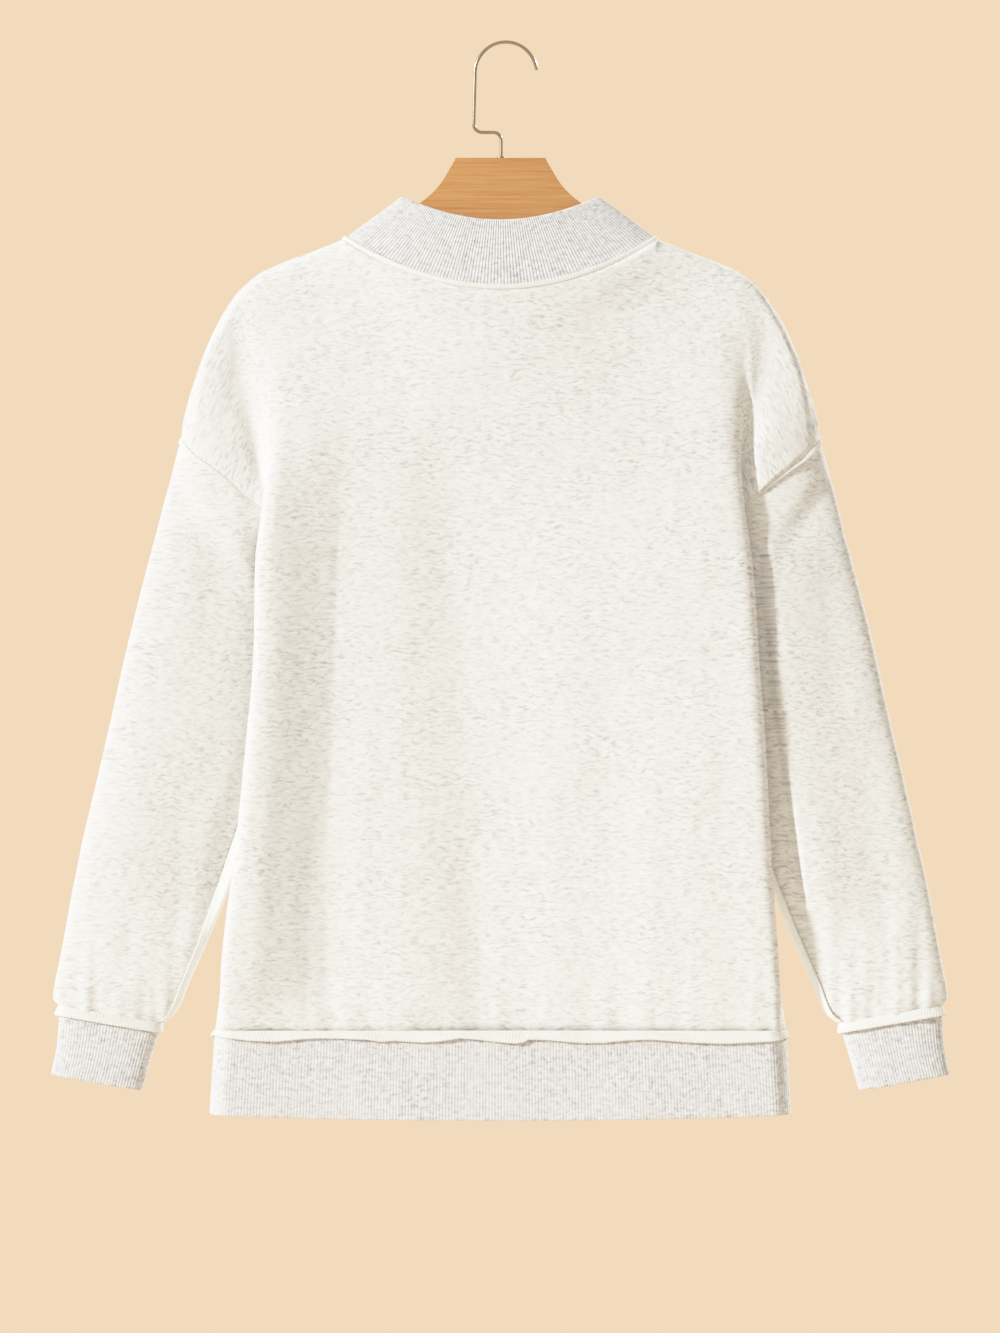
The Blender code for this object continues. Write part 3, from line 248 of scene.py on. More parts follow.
# Small unevenness of the fleece: size and height of each layer
UNEVEN = ((70.0, 0.55), (22.0, 0.22), (9.0, 0.07))
UNEVEN_SHIFT = 7.3             # keeps one layer's pattern away from the next one's
BACK_SEED, FRONT_SEED, LEFT_SLEEVE_SEED, RIGHT_SLEEVE_SEED = 3.1, 11.7, 23.0, 41.0
EDGE_TURN = 2.5                # how late a panel turns from its face to its edges
SEAM_TURN = 2.0                # and from its edges to its seams
# The back's two long edges are moved to the right: how far, and the drops where that comes and goes
Draw = namedtuple("Draw", "reach start end")
LEFT_DRAW = Draw(4.5, (420, 520), (620, 780))
RIGHT_DRAW = Draw(5.5, (235, 300), (540, 760))
DRAW_FACE = 1.5                # columns beyond the face station that move with an edge
# The right cap and sleeve stand forward beyond the line LEDGE, and the left sleeve falls away as it
# comes to the line TUCK. start and end are the drops where each comes and goes
Ledge = namedtuple("Ledge", "height start end")
LEDGE = table(Outline, [
    (204, 215), (208, 280), (212, 341), (217, 392), (221, 417), (231, 551), (243, 635), (256, 720),
])
LEDGE_STEP, LEDGE_REACH = 2.5, 45.0
CAP_LEDGE = Ledge(2.5, (225, 290), (372, 398))
SLEEVE_LEDGE = Ledge(7.0, (398, 440), (690, 760))
TUCK = table(Outline, [
    (-196, 392), (-200, 467), (-208, 560), (-222, 650), (-236, 730),
])
TUCK_DEPTH, TUCK_REACH, TUCK_PAST = 13.0, 40.0, 6.0
TUCK_START, TUCK_END = (392, 450), (690, 790)
CAP_COURSES = 62.0             # degrees that the knit's courses lean on the shoulders' caps
EDGE_FADE = 14.0               # creases fade out over this much cloth before a seam
PUCKER_HEIGHT = 0.8            # gathers above the hem and cuff seams
PUCKER_LENGTH = 42.0
PUCKER_REACH = 34.0
PUCKER_SHIFT, PUCKER_SHIFT_RATE = 1.3, 0.37        # a slower wave makes their pitch uneven
PUCKER_SECOND, PUCKER_SECOND_RATE = 0.45, 2.3      # a second set between them, lower and finer
HEM_PUCKER_HALF, HEM_PUCKER_FADE = 240.0, 26.0
CUFF_PUCKERING, CUFF_PUCKER_PITCH = 1.25, 1.4      # higher and closer than the hem's
CUFF_PUCKER_SIDE = (0.1, 0.7)  # they fade out towards the sleeve's folded edges
SLEEVE_SIDE = (0.0, 0.6)       # and so do the creases of its back and front

# Ribs: a row of a rib band's cross-section, from the seam over the free edge and back inside.
# height 0 at the seam and 1 at the free edge, back from that edge, inset into the wall, and the
# shares of the outer and the inner ribs' depth
Row = namedtuple("Row", "height back inset outer inner")
BAND_ROWS = table(Row, [
    (0.0, 0, 0.0, 0.5, 0), (0.03, 0, 0.0, 1, 0), (0.2, 0, 0.0, 1, 0), (0.4, 0, 0.0, 1, 0),
    (0.6, 0, 0.0, 1, 0), (0.8, 0, 0.0, 1, 0), (0.92, 0, 0.0, 1, 0), (1.0, 1.6, 0.0, 1, 0),
    (1.0, 0.75, 0.12, 0.95, 0), (1.0, 0.2, 0.5, 0.8, 0), (1.0, 0.0, 1.0, 0.5, 0.1),
    (1.0, 0.2, 1.5, 0.2, 0.5), (1.0, 0.75, 1.88, 0, 0.8), (1.0, 1.6, 2.0, 0, 1), (0.8, 0, 2.0, 0, 1),
    (0.5, 0, 2.0, 0, 1), (0.2, 0, 2.0, 0, 1), (0.0, 0, 2.0, 0, 0.5),
])
Ribbing = namedtuple("Ribbing", "count samples depth height seed")
COLLAR_RIBBING = Ribbing(212, 8, 0.42, COLLAR_HEIGHT, 2.0)
HEM_RIBBING = Ribbing(392, 6, 0.24, HEM_BOTTOM_DROP - HEM_SEAM_DROP, 5.0)
CUFF_RIBBING = Ribbing(70, 8, 0.28, CUFF_LENGTH, 8.0)
RIB_NARROWNESS = 1.5           # above 1 the grooves are narrower than the ribs
RIB_LEAN, RIB_SWELL = 0.0005, 0.35         # how unevenly the ribs run and stand
RIB_WAVE, RIB_TURN = 0.11, 5.0             # how fast that changes round a band, and up it
CUFF_LEVELS = (-0.5, 0, 0.5, 1, 1.5)       # heights of the cuff's sections and one beyond each end
SURFACE_STEP = 1e-4            # for the slopes of a band's surface
COLLAR_STEPS = 4000            # points that measure a band's way round
RING_SAMPLES, ROUND_SAMPLES = 1441, 721
HEM_END_RISE = 4.6             # the hem's bottom edge is this much higher at its ends
HEM_FALL = 1.0                 # and this much lower in the middle than in the solids
Ripple = namedtuple("Ripple", "height length")
LONG_RIPPLE, SHORT_RIPPLE = Ripple(0.5, 31.0), Ripple(0.4, 17.0)
RIPPLE_DEPTH = 9.0             # the short one leans by this length in y

# Seam allowances
LIP_POINTS = 9                 # across a seam allowance
LIP_ROUNDING = 2.6
LIP_THICK = 1.15
BAND_LIP_THICK = 1.3           # of the hem's and the cuffs'
LIP_SINK = 0.5                 # how far an allowance's sewn edge is drawn into the seam
LIP_WAVE_SIZE, LIP_WAVE = 24.0, 0.9        # its free edge stands out unevenly
LIP_RISE, LIP_FLARE = 0.5, 1.6             # powers: it lifts at once and flares late
LIP_WRAP = 0.8                 # cloth between two of the points round it
# How each one lies: lift and flare off its wall, and the shares of the band's height, or of the
# wall's first row or column, where it starts and ends
Lie = namedtuple("Lie", "lift flare start end")
NECK_LIE = Lie(0.3, 0.3, -0.02, 0.055)
HEM_LIE = Lie(0.4, 1.5, -0.03, None)       # it ends at HEM_LIP_EDGE
CUFF_LIE = Lie(0.6, 1.9, -0.03, 0.125)
ARMHOLE_LIE = Lie(0.3, 0.3, -0.3, 0.45)
SIDE_LIE = Lie(0.5, 0.0, 0.0, 1.0)
SHOULDER_LIE = Lie(0.5, 0.0, -0.05, 0.85)
UNDERARM_LIE = Lie(0.4, 0.4, None, None)   # it lies between UNDERARM_COLUMNS
UNDERARM_COLUMNS = (-2, -17)   # from the sleeve's inner fold
UNDERARM_END = 3               # rows before the cuff seam
SIDE_LIP_ENDS = (12.0, 1.0)    # distances from the underarm and the hem seam
SHOULDER_LIP_END = 0.9         # columns beyond the face station
NECK_LIP_POINTS, HEM_LIP_POINTS, CUFF_LIP_POINTS = 330, 700, 150
STITCH = 2.5                   # pitch of the overlocking
THREAD = 0.25
# One stitch of the thread: share of the pitch, place across the allowance, rise off it
OVERLOCK = ((0.0, 0.08, 0.1), (0.36, 0.9, 0.12), (0.5, 1.0, -0.1), (0.64, 0.9, 0.12))
Edge = namedtuple("Edge", "x drop")
# The free edge of the hem's allowance, which was trimmed by hand and waves: by these points on the
# back, and by two ripples on the front
HEM_LIP_EDGE = table(Edge, [
    (-239, 831.4), (-224, 834.0), (-209, 835.6), (-187, 836.5), (-167, 834.2), (-152, 833.4),
    (-134, 833.8), (-112, 834.4), (-100, 836.4), (-87, 835.6), (-65, 837.2), (-51, 836.0), (-34, 833.2),
    (-20, 834.2), (-5, 836.4), (12, 837.6), (19, 837.0), (23, 834.4), (42, 835.0), (68, 837.4),
    (85, 837.4), (106, 835.2), (125, 834.4), (145, 836.0), (162, 837.4), (188, 838.2), (205, 837.5),
    (227, 836.4), (238, 834.0),
])
FRONT_LIP_DROP = 835.6
FRONT_LIP_LONG, FRONT_LIP_SHORT = Ripple(1.1, 19.0), Ripple(0.7, 8.3)
LIP_SIDE = 10.0                # the one gives way to the other over this far each way in y

# --- hanger -----------------------------------------------------------------------------------
HANGER_THICK = 12.0
HANGER_SEAT = 1.9
HANGER_TOP_DROP = 96.3
HANGER_TOP_HALF = 38.7
HANGER_TIP_X = 205.0
HANGER_TIP_FALL = 3.8
HANGER_TIP_CURVE = (165.0, 200.0)
HANGER_ARM_HEIGHT = 30.0
HANGER_ROUNDING = 3.2
HANGER_CORNER = 2.0            # the cut corner of its flat top
HANGER_CORNER_BOW = 0.3
HANGER_STEP = 3.0              # between two points of its outline
HANGER_SLOPE_REACH = 2.0       # the arm's slope is taken over this far each way
HANGER_WELD = 0.05
HANGER_BEVEL_STEPS, HANGER_BEVEL_ANGLE, HANGER_SHARP_ANGLE = 5, 50.0, 40.0
HANGER_FLARE = table(Outline, [
    (44, 107.5), (49, 116), (56, 124.5), (66, 133), (82, 143), (104, 157), (124, 169.8),
])
HANGER_ARM_X = (146.0, 163.0, 180.0, 191.0, 198.0)
HANGER_TIP = [Outline(-1.5, 5), Outline(0, 11), Outline(-3, 18), Outline(-10, 22)]
HANGER_UNDER_X = (180.0, 150.0)
HANGER_UNDER = table(Outline, [
    (120, 184), (90, 173), (60, 166.5), (30, 163.5), (0, 162.5),
])
WIRE_RADIUS = 1.5
Bend = namedtuple("Bend", "x drop radius")
HOOK_ARCH = Bend(4.5, 24.3, 25.8)
HOOK_ELBOW = Bend(-15.4, 67.4, 7.0)
HOOK_STEM_BEND = Bend(-5.8, 80.7, 6.3)
HOOK_LEG = [Outline(-21.9, 45.0), Outline(-22.4, 66.0)]
HOOK_CROSS_END_X = -7.0
HOOK_STEM_GAP = 0.5            # between its lower end and the wood
HOOK_TIP_ANGLE, HOOK_ELBOW_ANGLE, HOOK_BEND_ANGLE = 5.0, 12.0, 8.0
HOOK_ARCH_POINTS, HOOK_BEND_POINTS = 60, 12
WIRE_ROUNDNESS = 6
FERRULE_RADIUS = 3.8
FERRULE_HEIGHT = 1.4
FERRULE_BORE = 1.6
FERRULE_EDGE = Outline(0.5, 0.4)
FERRULE_GAP = 0.15             # between it and the wood
FERRULE_POINTS = 48


# --- curves -----------------------------------------------------------------------------------
def slopes(t, values):
    """Slopes of a monotone cubic through values at t, so that no column overshoots."""
    step = np.diff(t)
    delta = np.diff(values, axis=0) / step[:, None]
    out = np.zeros_like(values)
    before, after = delta[:-1], delta[1:]
    same = before * after > 0
    w1 = (2 * step[1:] + step[:-1])[:, None]
    w2 = (step[1:] + 2 * step[:-1])[:, None]
    safe_before = np.where(same, before, 1.0)
    safe_after = np.where(same, after, 1.0)
    mean = (w1 + w2) / (w1 / safe_before + w2 / safe_after)
    out[1:-1] = np.where(same, mean, 0.0)
    out[0], out[-1] = delta[0], delta[-1]
    return out


def smooth_through(t, values, at):
    """Read a smooth curve through the rows of values, which lie at t, at the places in at."""
    t = np.asarray(t, float)
    values = np.asarray(values, float)
    at = np.clip(np.asarray(at, float), t[0], t[-1])
    slope = slopes(t, values)
    k = np.clip(np.searchsorted(t, at, side="right") - 1, 0, len(t) - 2)
    h = t[k + 1] - t[k]
    s = ((at - t[k]) / h)[:, None]
    h = h[:, None]
    return ((2 * s**3 - 3 * s**2 + 1) * values[k] + (s**3 - 2 * s**2 + s) * h * slope[k]
            + (3 * s**2 - 2 * s**3) * values[k + 1] + (s**3 - s**2) * h * slope[k + 1])


def chord(points):
    """Distance along a line of points."""
    steps = np.linalg.norm(np.diff(np.asarray(points, float), axis=0), axis=1)
    return np.concatenate([[0.0], np.cumsum(steps)])


def along(knots, drop):
    """Point of a seam line at a drop."""
    knots = np.asarray(knots, float)
    return smooth_through(knots[:, 1], knots, [drop])[0]


def split(t, counts):
    """Places between the knots t, counts[i] steps in the i-th interval."""
    places = [np.linspace(t[i], t[i + 1], n, endpoint=False) for i, n in enumerate(counts)]
    return np.concatenate(places + [[t[-1]]])


def smoothstep(value, low, high):
    """0 below low, 1 above high, and a soft step between them."""
    s = np.clip((np.asarray(value, float) - low) / (high - low), 0.0, 1.0)
    return s * s * (3 - 2 * s)


def between(value, start, end):
    """1 between two spans, 0 outside them, and soft over each."""
    return smoothstep(value, *start) * (1 - smoothstep(value, *end))


def rippled(ripple, x, turn=0.0):
    return ripple.height * np.sin(x / ripple.length + turn)


def unit(vectors):
    return vectors / np.maximum(np.linalg.norm(vectors, axis=-1, keepdims=True), 1e-9)


def fold_depth(folds, x, drop):
    """How far the soft folds move the cloth in y at (x, drop)."""
    total = np.zeros_like(x)
    for fold in folds:
        line = fold.x + fold.lean * (drop - FOLD_LEVEL)
        width = np.where(x < line, fold.width_left, fold.width_right)
        bump = np.exp(-((x - line) / width) ** 2)
        begin = smoothstep(drop, fold.top, fold.top + FOLD_FADE_IN)
        end = smoothstep(drop, fold.bottom - FOLD_FADE_OUT, fold.bottom)
        total = total + fold.depth * bump * begin * (1 - end)
    return total


def slope_depth(x, drop):
    """How far the long slope behind the left edge moves the cloth in y."""
    past = x - SLOPE_X - SLOPE_LEAN * (drop - FOLD_LEVEL)
    left = np.clip(-past / SLOPE_WIDTH, 0, 1)
    left = left - SLOPE_BOW * np.sin(2 * np.pi * left) / (2 * np.pi)
    height = np.where(past < 0, SLOPE_DEPTH - (SLOPE_HEIGHT + SLOPE_DEPTH) * left,
                      SLOPE_DEPTH * np.exp(-(past / SLOPE_RISE) ** 2))
    return height * between(drop, SLOPE_START, SLOPE_END)


def crease_depth(creases, x, drop):
    """How far the creases move the cloth outwards at (x, drop)."""
    total = np.zeros_like(x)
    for c in creases:
        dx, dd = c.x1 - c.x0, c.drop1 - c.drop0
        length = math.hypot(dx, dd)
        share = ((x - c.x0) * dx + (drop - c.drop0) * dd) / length**2
        aside = ((x - c.x0) * dd - (drop - c.drop0) * dx) / length
        bend = c.width * CREASE_BEND * np.sin(share * CREASE_WAVE + c.x0)
        ends = between(share, CREASE_START, CREASE_END)
        total = total + CREASING * c.depth * np.exp(-((aside + bend) / c.width) ** 2) * ends
    return total


def unevenness(points, seed):
    """Small hills and hollows of the fleece, the same on each run."""
    flat = points.reshape(-1, 3)
    total = np.zeros(len(flat))
    for i, (size, height) in enumerate(UNEVEN):
        places = flat / size + (seed, UNEVEN_SHIFT * i, 0.0)
        total += height * np.array([noise.noise(Vector(place)) for place in places])
    return total.reshape(points.shape[:-1])


def edge_distance(grid, closed):
    """Distance along the cloth from each point to the nearest open edge."""
    down = np.linalg.norm(np.diff(grid, axis=0), axis=2)
    top = np.vstack([np.zeros(grid.shape[1]), np.cumsum(down, axis=0)])
    nearest = np.minimum(top, top[-1] - top)
    if not closed:
        across = np.linalg.norm(np.diff(grid, axis=1), axis=2)
        left = np.hstack([np.zeros((grid.shape[0], 1)), np.cumsum(across, axis=1)])
        nearest = np.minimum(nearest, np.minimum(left, left[:, -1:] - left))
    return nearest


# --- meshes -----------------------------------------------------------------------------------
def to_world(points):
    """Points as (x, drop, y) in Blender's order."""
    points = np.asarray(points, float)
    return np.stack([points[..., 0], points[..., 2], -points[..., 1]], axis=-1)


def grid_normals(grid, closed):
    """Unit normals at the points of a grid, all on one side of it."""
    if closed:
        across = np.roll(grid, -1, axis=1) - np.roll(grid, 1, axis=1)
    else:
        across = np.gradient(grid, axis=1)
    return unit(np.cross(across, np.gradient(grid, axis=0)))


def outward_normals(grid, closed, toward):
    """The grid's normals on the side that the vector or vectors toward point to."""
    normals = grid_normals(grid, closed)
    return normals if (normals * toward).sum() > 0 else -normals


def add_object(name, data):
    thing = bpy.data.objects.new(name, data)
    bpy.context.scene.collection.objects.link(thing)
    return thing


def new_piece(name, points, faces, uv=None):
    mesh = bpy.data.meshes.new(name)
    mesh.from_pydata((to_world(points) * MM).reshape(-1, 3).tolist(), [], faces)
    mesh.polygons.foreach_set("use_smooth", [True] * len(mesh.polygons))
    if uv is not None:
        layer = mesh.uv_layers.new(name="knit")
        layer.data.foreach_set("uv", np.asarray(uv, np.float32).ravel())
    mesh.update()
    return add_object(name, mesh)


def poly_curve(name, dimensions, points, closed):
    """A curve of straight steps through points in metres."""
    curve = bpy.data.curves.new(name, "CURVE")
    curve.dimensions = dimensions
    spline = curve.splines.new("POLY")
    spline.points.add(len(points) - 1)
    spline.points.foreach_set("co", np.column_stack([points, np.ones(len(points))]).ravel())
    spline.use_cyclic_u = closed
    return curve


def wire_piece(name, points, radius, roundness, closed=False):
    """A round wire or thread along a line of points."""
    curve = poly_curve(name, "3D", to_world(points) * MM, closed)
    curve.bevel_depth = radius * MM
    curve.bevel_resolution = roundness
    curve.use_fill_caps = True
    return add_object(name, curve)


def grid_piece(name, grid, closed_rows=False, closed_columns=False, uv=None, outward=None, caps=False):
    """A piece lofted over grid[row][column]; uv has one more row or column where that way is closed.

    It faces outward, or, where that isn't given and both ways are closed, away from its inside.
    """
    rows, columns = grid.shape[:2]
    r, c = np.meshgrid(np.arange(rows if closed_rows else rows - 1),
                       np.arange(columns if closed_columns else columns - 1), indexing="ij")
    corners = [(r, c), (r, c + 1), (r + 1, c + 1), (r + 1, c)]
    faces = np.stack([(i % rows) * columns + j % columns for i, j in corners], axis=-1).reshape(-1, 4)
    world = to_world(grid).reshape(-1, 3)
    first, across = world[faces[:, 0]], world[faces[:, 2]] - world[faces[:, 0]]
    normal = np.cross(across, world[faces[:, 3]] - world[faces[:, 1]])
    out = first if outward is None else to_world(outward).reshape(-1, 3)[faces[:, 0]]
    facing = (normal * out).sum()
    loops = None
    if uv is not None:
        loops = np.stack([uv[i, j] for i, j in corners], axis=-2).reshape(-1, 4, 2)
    if facing < 0:
        faces = faces[:, ::-1]
        loops = None if loops is None else loops[:, ::-1]
    faces = faces.tolist()
    if caps:
        for row in (0, rows - 1):
            rim = [row * columns + k for k in range(columns)]
            faces.append(rim if (row == 0) == (facing > 0) else rim[::-1])
        if loops is not None:
            spare = np.zeros((2 * columns, 2))
            loops = np.vstack([loops.reshape(-1, 2), spare])
    return new_piece(name, grid, faces, loops)


def cloth_uv(grid):
    """Courses and wales in metres, from the cloth's own lengths."""
    across = np.linalg.norm(np.diff(grid, axis=1), axis=2)
    u = np.hstack([np.zeros((grid.shape[0], 1)), np.cumsum(across, axis=1)])
    u = u - u[:, u.shape[1] // 2][:, None]
    down = np.linalg.norm(np.diff(grid, axis=0), axis=2)
    v = -np.vstack([np.zeros(grid.shape[1]), np.cumsum(down, axis=0)])
    return np.stack([u, v], axis=-1) * MM


def thicken(piece):
    """Give a piece the cloth's wall, laid on its inner side."""
    wall = piece.modifiers.new("wall", "SOLIDIFY")
    wall.thickness = WALL * MM
    wall.offset = -1.0
    wall.use_rim = True


def dress(piece, material, slot, *nodes):
    """Give a piece its material, attach it to the root, and hide the solids that it takes the place of."""
    piece.data.materials.append(material)
    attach(piece, "root")
    if nodes:
        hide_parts(*nodes)
    return piece


# --- panels -----------------------------------------------------------------------------------
def half_section(section, side, seam, stations, counts, folds, dip_power, pull):
    """One half of a section, from its seam to just before the centre line."""
    knots = np.array([seam] + stations)
    t = chord(knots)
    outer = smooth_through(t, knots, split(t, [n * COLUMN_FINE for n in counts]))
    outer[0] = pull
    turn = counts[-1] * COLUMN_FINE
    share = np.arange(turn, -1, -1) / turn
    outer[-turn - 1:, 2] = section.face_y + (outer[-turn - 1, 2] - section.face_y) * share**EDGE_TURN
    turn = counts[0] * COLUMN_FINE
    share = np.arange(turn, -1, -1) / turn
    outer[:turn + 1, 2] = outer[turn, 2] + (outer[0, 2] - outer[turn, 2]) * share**SEAM_TURN
    neck_x = stations[-1][0] * NECK_TO_FACE
    near_neck = min((section.centre - section.neck) / (BACK_NECK_DROP - NECK_POINT_DROP), 1.0)
    power = NECK_ROUNDING[1] + (NECK_ROUNDING[0] - NECK_ROUNDING[1]) * near_neck
    steps = NECK_STEPS * COLUMN_FINE
    q = 1 - (np.arange(steps) / steps) ** NECK_SPREAD
    drop = section.neck + (section.centre - section.neck) * (1 - q * q) ** (dip_power / 2)
    y = section.face_y + (section.centre_y - section.face_y) * (1 - q * q) ** power
    inner = np.column_stack([neck_x * q, drop, y])
    joint = np.linspace(outer[-1], inner[0], FACE_STEPS + 2)[1:-1]
    points = np.vstack([outer, joint, inner])
    points[:, 0] *= side
    share = np.clip(np.arange(len(points)) / COLUMN_FINE - 1, 0, 1)
    points[:, 2] += share * fold_depth(folds, points[:, 0], points[:, 1])
    return points


def panel(sections, fields, armhole, folds, row_counts, counts, dip_power, neck_room):
    """Grid of a panel, left seam to right seam, shoulder and neck seam to hem seam."""
    centres = [s.centre for s in sections]
    kind = type(sections[0])
    underarm = SIDE_SEAM[0].drop
    grid, seam_points = [], []
    rows = split(centres, [n * ROW_FINE for n in row_counts])
    for values in smooth_through(centres, np.array(sections, float), rows):
        s = kind(*values)
        seam = along(armhole if s.seam < underarm else SIDE_SEAM, s.seam)
        if s.seam < underarm + 0.01:
            seam_points.append(seam)
        stations = [tuple(getattr(s, f"{field}_{axis}") for axis in ("x", "drop", "y"))
                    for field in fields]
        pull = seam + unit(np.array(stations[0]) - seam) * SEAM_ROOM
        halves = [half_section(s, side, seam, stations, counts, folds, dip_power, pull)
                  for side in (LEFT, RIGHT)]
        middle = s.centre_y + fold_depth(folds, np.zeros(1), np.array([s.centre]))[0]
        grid.append(np.vstack([halves[0], [[0.0, s.centre, middle]], halves[1][::-1]]))
    grid = np.array(grid)
    before = grid[0].copy()
    in_neck = np.clip(1 - (grid[0, :, 0] / NECK_HALF) ** NECK_ROOM_POWER, 0, 1)[:, None]
    grid[0] += unit(grid[ROW_FINE] - grid[0]) * (SEAM_ROOM + (neck_room - SEAM_ROOM) * in_neck)
    room = SHOULDER_ROOM * (np.abs(grid[0, :, 0]) > SHOULDER_ROOM_START)
    grid[0, :, 2] += math.copysign(1.0, sections[0].centre_y) * room
    lay_on_shoulder(grid[0], sum(counts) * COLUMN_FINE + FACE_STEPS + 1)
    change = grid[0] - before
    for row in range(1, ROW_FINE):
        grid[row] += change * (1 - row / ROW_FINE)
    grid[-1, :, 1] -= HEM_SEAM_ROOM
    return ease_neck(grid, sum(counts) * COLUMN_FINE), np.array(seam_points)


def ease_neck(grid, edge):
    """Let the cloth below each neck point ease from the neck's round into the shoulder.

    edge is the column of the flat face's edge, inside which x runs one way along each row.
    """
    inner = slice(edge, grid.shape[1] - edge)
    below = np.linalg.norm(grid - grid[:1], axis=2)
    spread = np.linspace(-NECK_EASE_SPREAD, NECK_EASE_SPREAD, 2 * NECK_EASE_REACH + 1)
    kernel = np.exp(-spread ** 2 / 2)
    kernel /= kernel.sum()
    for row, gap in zip(grid, below):
        x, y = row[inner, 0], row[inner, 2]
        even = np.arange(x[0], x[-1], 1.0)
        level = np.pad(np.interp(even, x, y), NECK_EASE_REACH, mode="edge")
        eased = np.interp(x, even, np.convolve(level, kernel, mode="valid"))
        share = between(np.abs(x), *NECK_EASE_X) * smoothstep(gap[inner], *NECK_EASE_GAP)
        share *= 1 - smoothstep(row[inner, 1], *NECK_EASE_DROP)
        row[inner, 2] += (eased - y) * share
    return grid


def lay_on_shoulder(row, count):
    """Lay the first row's two ends on the shoulder seam line."""
    knots = np.array(SHOULDER_SEAM, float)
    seam_t = chord(knots)
    for side in (LEFT, RIGHT):
        for c in range(count) if side == LEFT else range(len(row) - count, len(row)):
            x = abs(row[c, 0])
            if x > knots[0, 0]:
                t = float(np.interp(x, knots[:, 0], seam_t))
                point = smooth_through(seam_t, knots, [t])[0]
                row[c] = (side * point[0], point[1], row[c, 2])


def puckers(distance, place):
    """Small uneven gathers that run up from a ribbed band's seam."""
    phase = 2 * math.pi * place / PUCKER_LENGTH
    wave = np.cos(phase + PUCKER_SHIFT * np.sin(phase * PUCKER_SHIFT_RATE + 1.0))
    wave = wave + PUCKER_SECOND * np.cos(phase * PUCKER_SECOND_RATE + 2.0)
    return PUCKER_HEIGHT * wave * np.exp(-distance / PUCKER_REACH)


def crease_panel(grid, toward, creases, seed):
    """Lay creases, unevenness and the gathers above the hem on a panel."""
    normals = outward_normals(grid, False, toward)
    x, drop = grid[..., 0], grid[..., 1]
    move = crease_depth(creases, x, drop) + unevenness(grid, seed)
    move = move * smoothstep(edge_distance(grid, False), 0, EDGE_FADE)
    gathers = puckers(HEM_SEAM_DROP - drop, x)
    gathers = gathers * smoothstep(HEM_PUCKER_HALF - np.abs(x), 0, HEM_PUCKER_FADE)
    return grid + normals * (move + gathers)[..., None], normals


def draw_edges(back, columns):
    """Move the back's two long edges a little to the right."""
    valley, crest, face = (sum(BACK_COLUMN_STEPS[:n]) for n in (2, 3, 4))
    for place, draw in ((columns, LEFT_DRAW), (columns[::-1], RIGHT_DRAW)):
        drawn = smoothstep(place, valley, crest) * (1 - smoothstep(place, face, face + DRAW_FACE))
        back[..., 0] += draw.reach * drawn[None, :] * between(back[..., 1], draw.start, draw.end)


def line_x(line, drop):
    """Where a line of outline points lies at these drops."""
    return np.interp(drop, [p.drop for p in line], [p.x for p in line])


def ledge_depth(x, drop, ledge):
    """The right sleeve and cap stand forward beyond a line, sharply at it and less farther on."""
    past = x - line_x(LEDGE, drop)
    shape = smoothstep(past, -LEDGE_STEP, LEDGE_STEP)
    shape = shape * np.exp(-(np.maximum(past, 0) / LEDGE_REACH) ** 2)
    return ledge.height * shape * between(drop, ledge.start, ledge.end)


def tuck_depth(x, drop):
    """The left sleeve falls away towards the body's edge."""
    shape = np.exp(-np.maximum(line_x(TUCK, drop) - x, -TUCK_PAST) / TUCK_REACH)
    return -TUCK_DEPTH * shape * between(drop, TUCK_START, TUCK_END)


def panel_uv(grid, capped):
    """The knit's courses lie level on the body and run steeply over the dropped shoulders' caps."""
    uv = np.stack([cloth_uv(grid)[..., 0], -grid[..., 1] * MM], axis=-1)
    if capped:
        cap = sum(BACK_COLUMN_STEPS[:2]) * COLUMN_FINE
        lean = math.radians(CAP_COURSES)
        for columns in (slice(0, cap), slice(-cap, None)):
            x, z = np.abs(grid[:, columns, 0]), -grid[:, columns, 1]
            uv[:, columns, 0] = (z * math.sin(lean) - x * math.cos(lean)) * MM
            uv[:, columns, 1] = (x * math.sin(lean) + z * math.cos(lean)) * MM
    return uv


def build_panels(materials):
    """The two panels, and what the sleeves and the seam allowances need of them."""
    back, back_seam = panel(BACK_SECTIONS, ("cap", "valley", "crest", "face"), ARMHOLE_BACK, BACK_FOLDS,
                            BACK_ROW_STEPS, BACK_COLUMN_STEPS, BACK_DIP_POWER, BACK_NECK_ROOM)
    front, front_seam = panel(FRONT_SECTIONS, ("cap", "flank", "face"), ARMHOLE_FRONT, FRONT_FOLDS,
                              FRONT_ROW_STEPS, FRONT_COLUMN_STEPS, FRONT_DIP_POWER, FRONT_NECK_ROOM)
    columns = np.arange(back.shape[1]) / COLUMN_FINE
    from_crest = np.minimum(columns, columns[::-1]) - sum(BACK_COLUMN_STEPS[:3])
    inside = smoothstep(from_crest, *SLOPE_EDGE)
    back[..., 2] += slope_depth(back[..., 0], back[..., 1]) * inside
    draw_edges(back, columns)
    back[..., 2] -= ledge_depth(back[..., 0], back[..., 1], CAP_LEDGE)
    pieces = {}
    for word, smooth, toward, creases, seed in (("back", back, BACKWARD, BACK_CREASES, BACK_SEED),
                                                ("front", front, FORWARD, FRONT_CREASES, FRONT_SEED)):
        grid, out = crease_panel(smooth, toward, creases, seed)
        piece = grid_piece(f"{word}_cloth", grid, uv=panel_uv(grid, word == "back"), outward=out)
        thicken(piece)
        pieces[f"{word}_cloth"] = dress(piece, materials["jersey"], "jersey", f"{word}_panel")
    return pieces, front, outward_normals(front, False, FORWARD), back_seam, front_seam


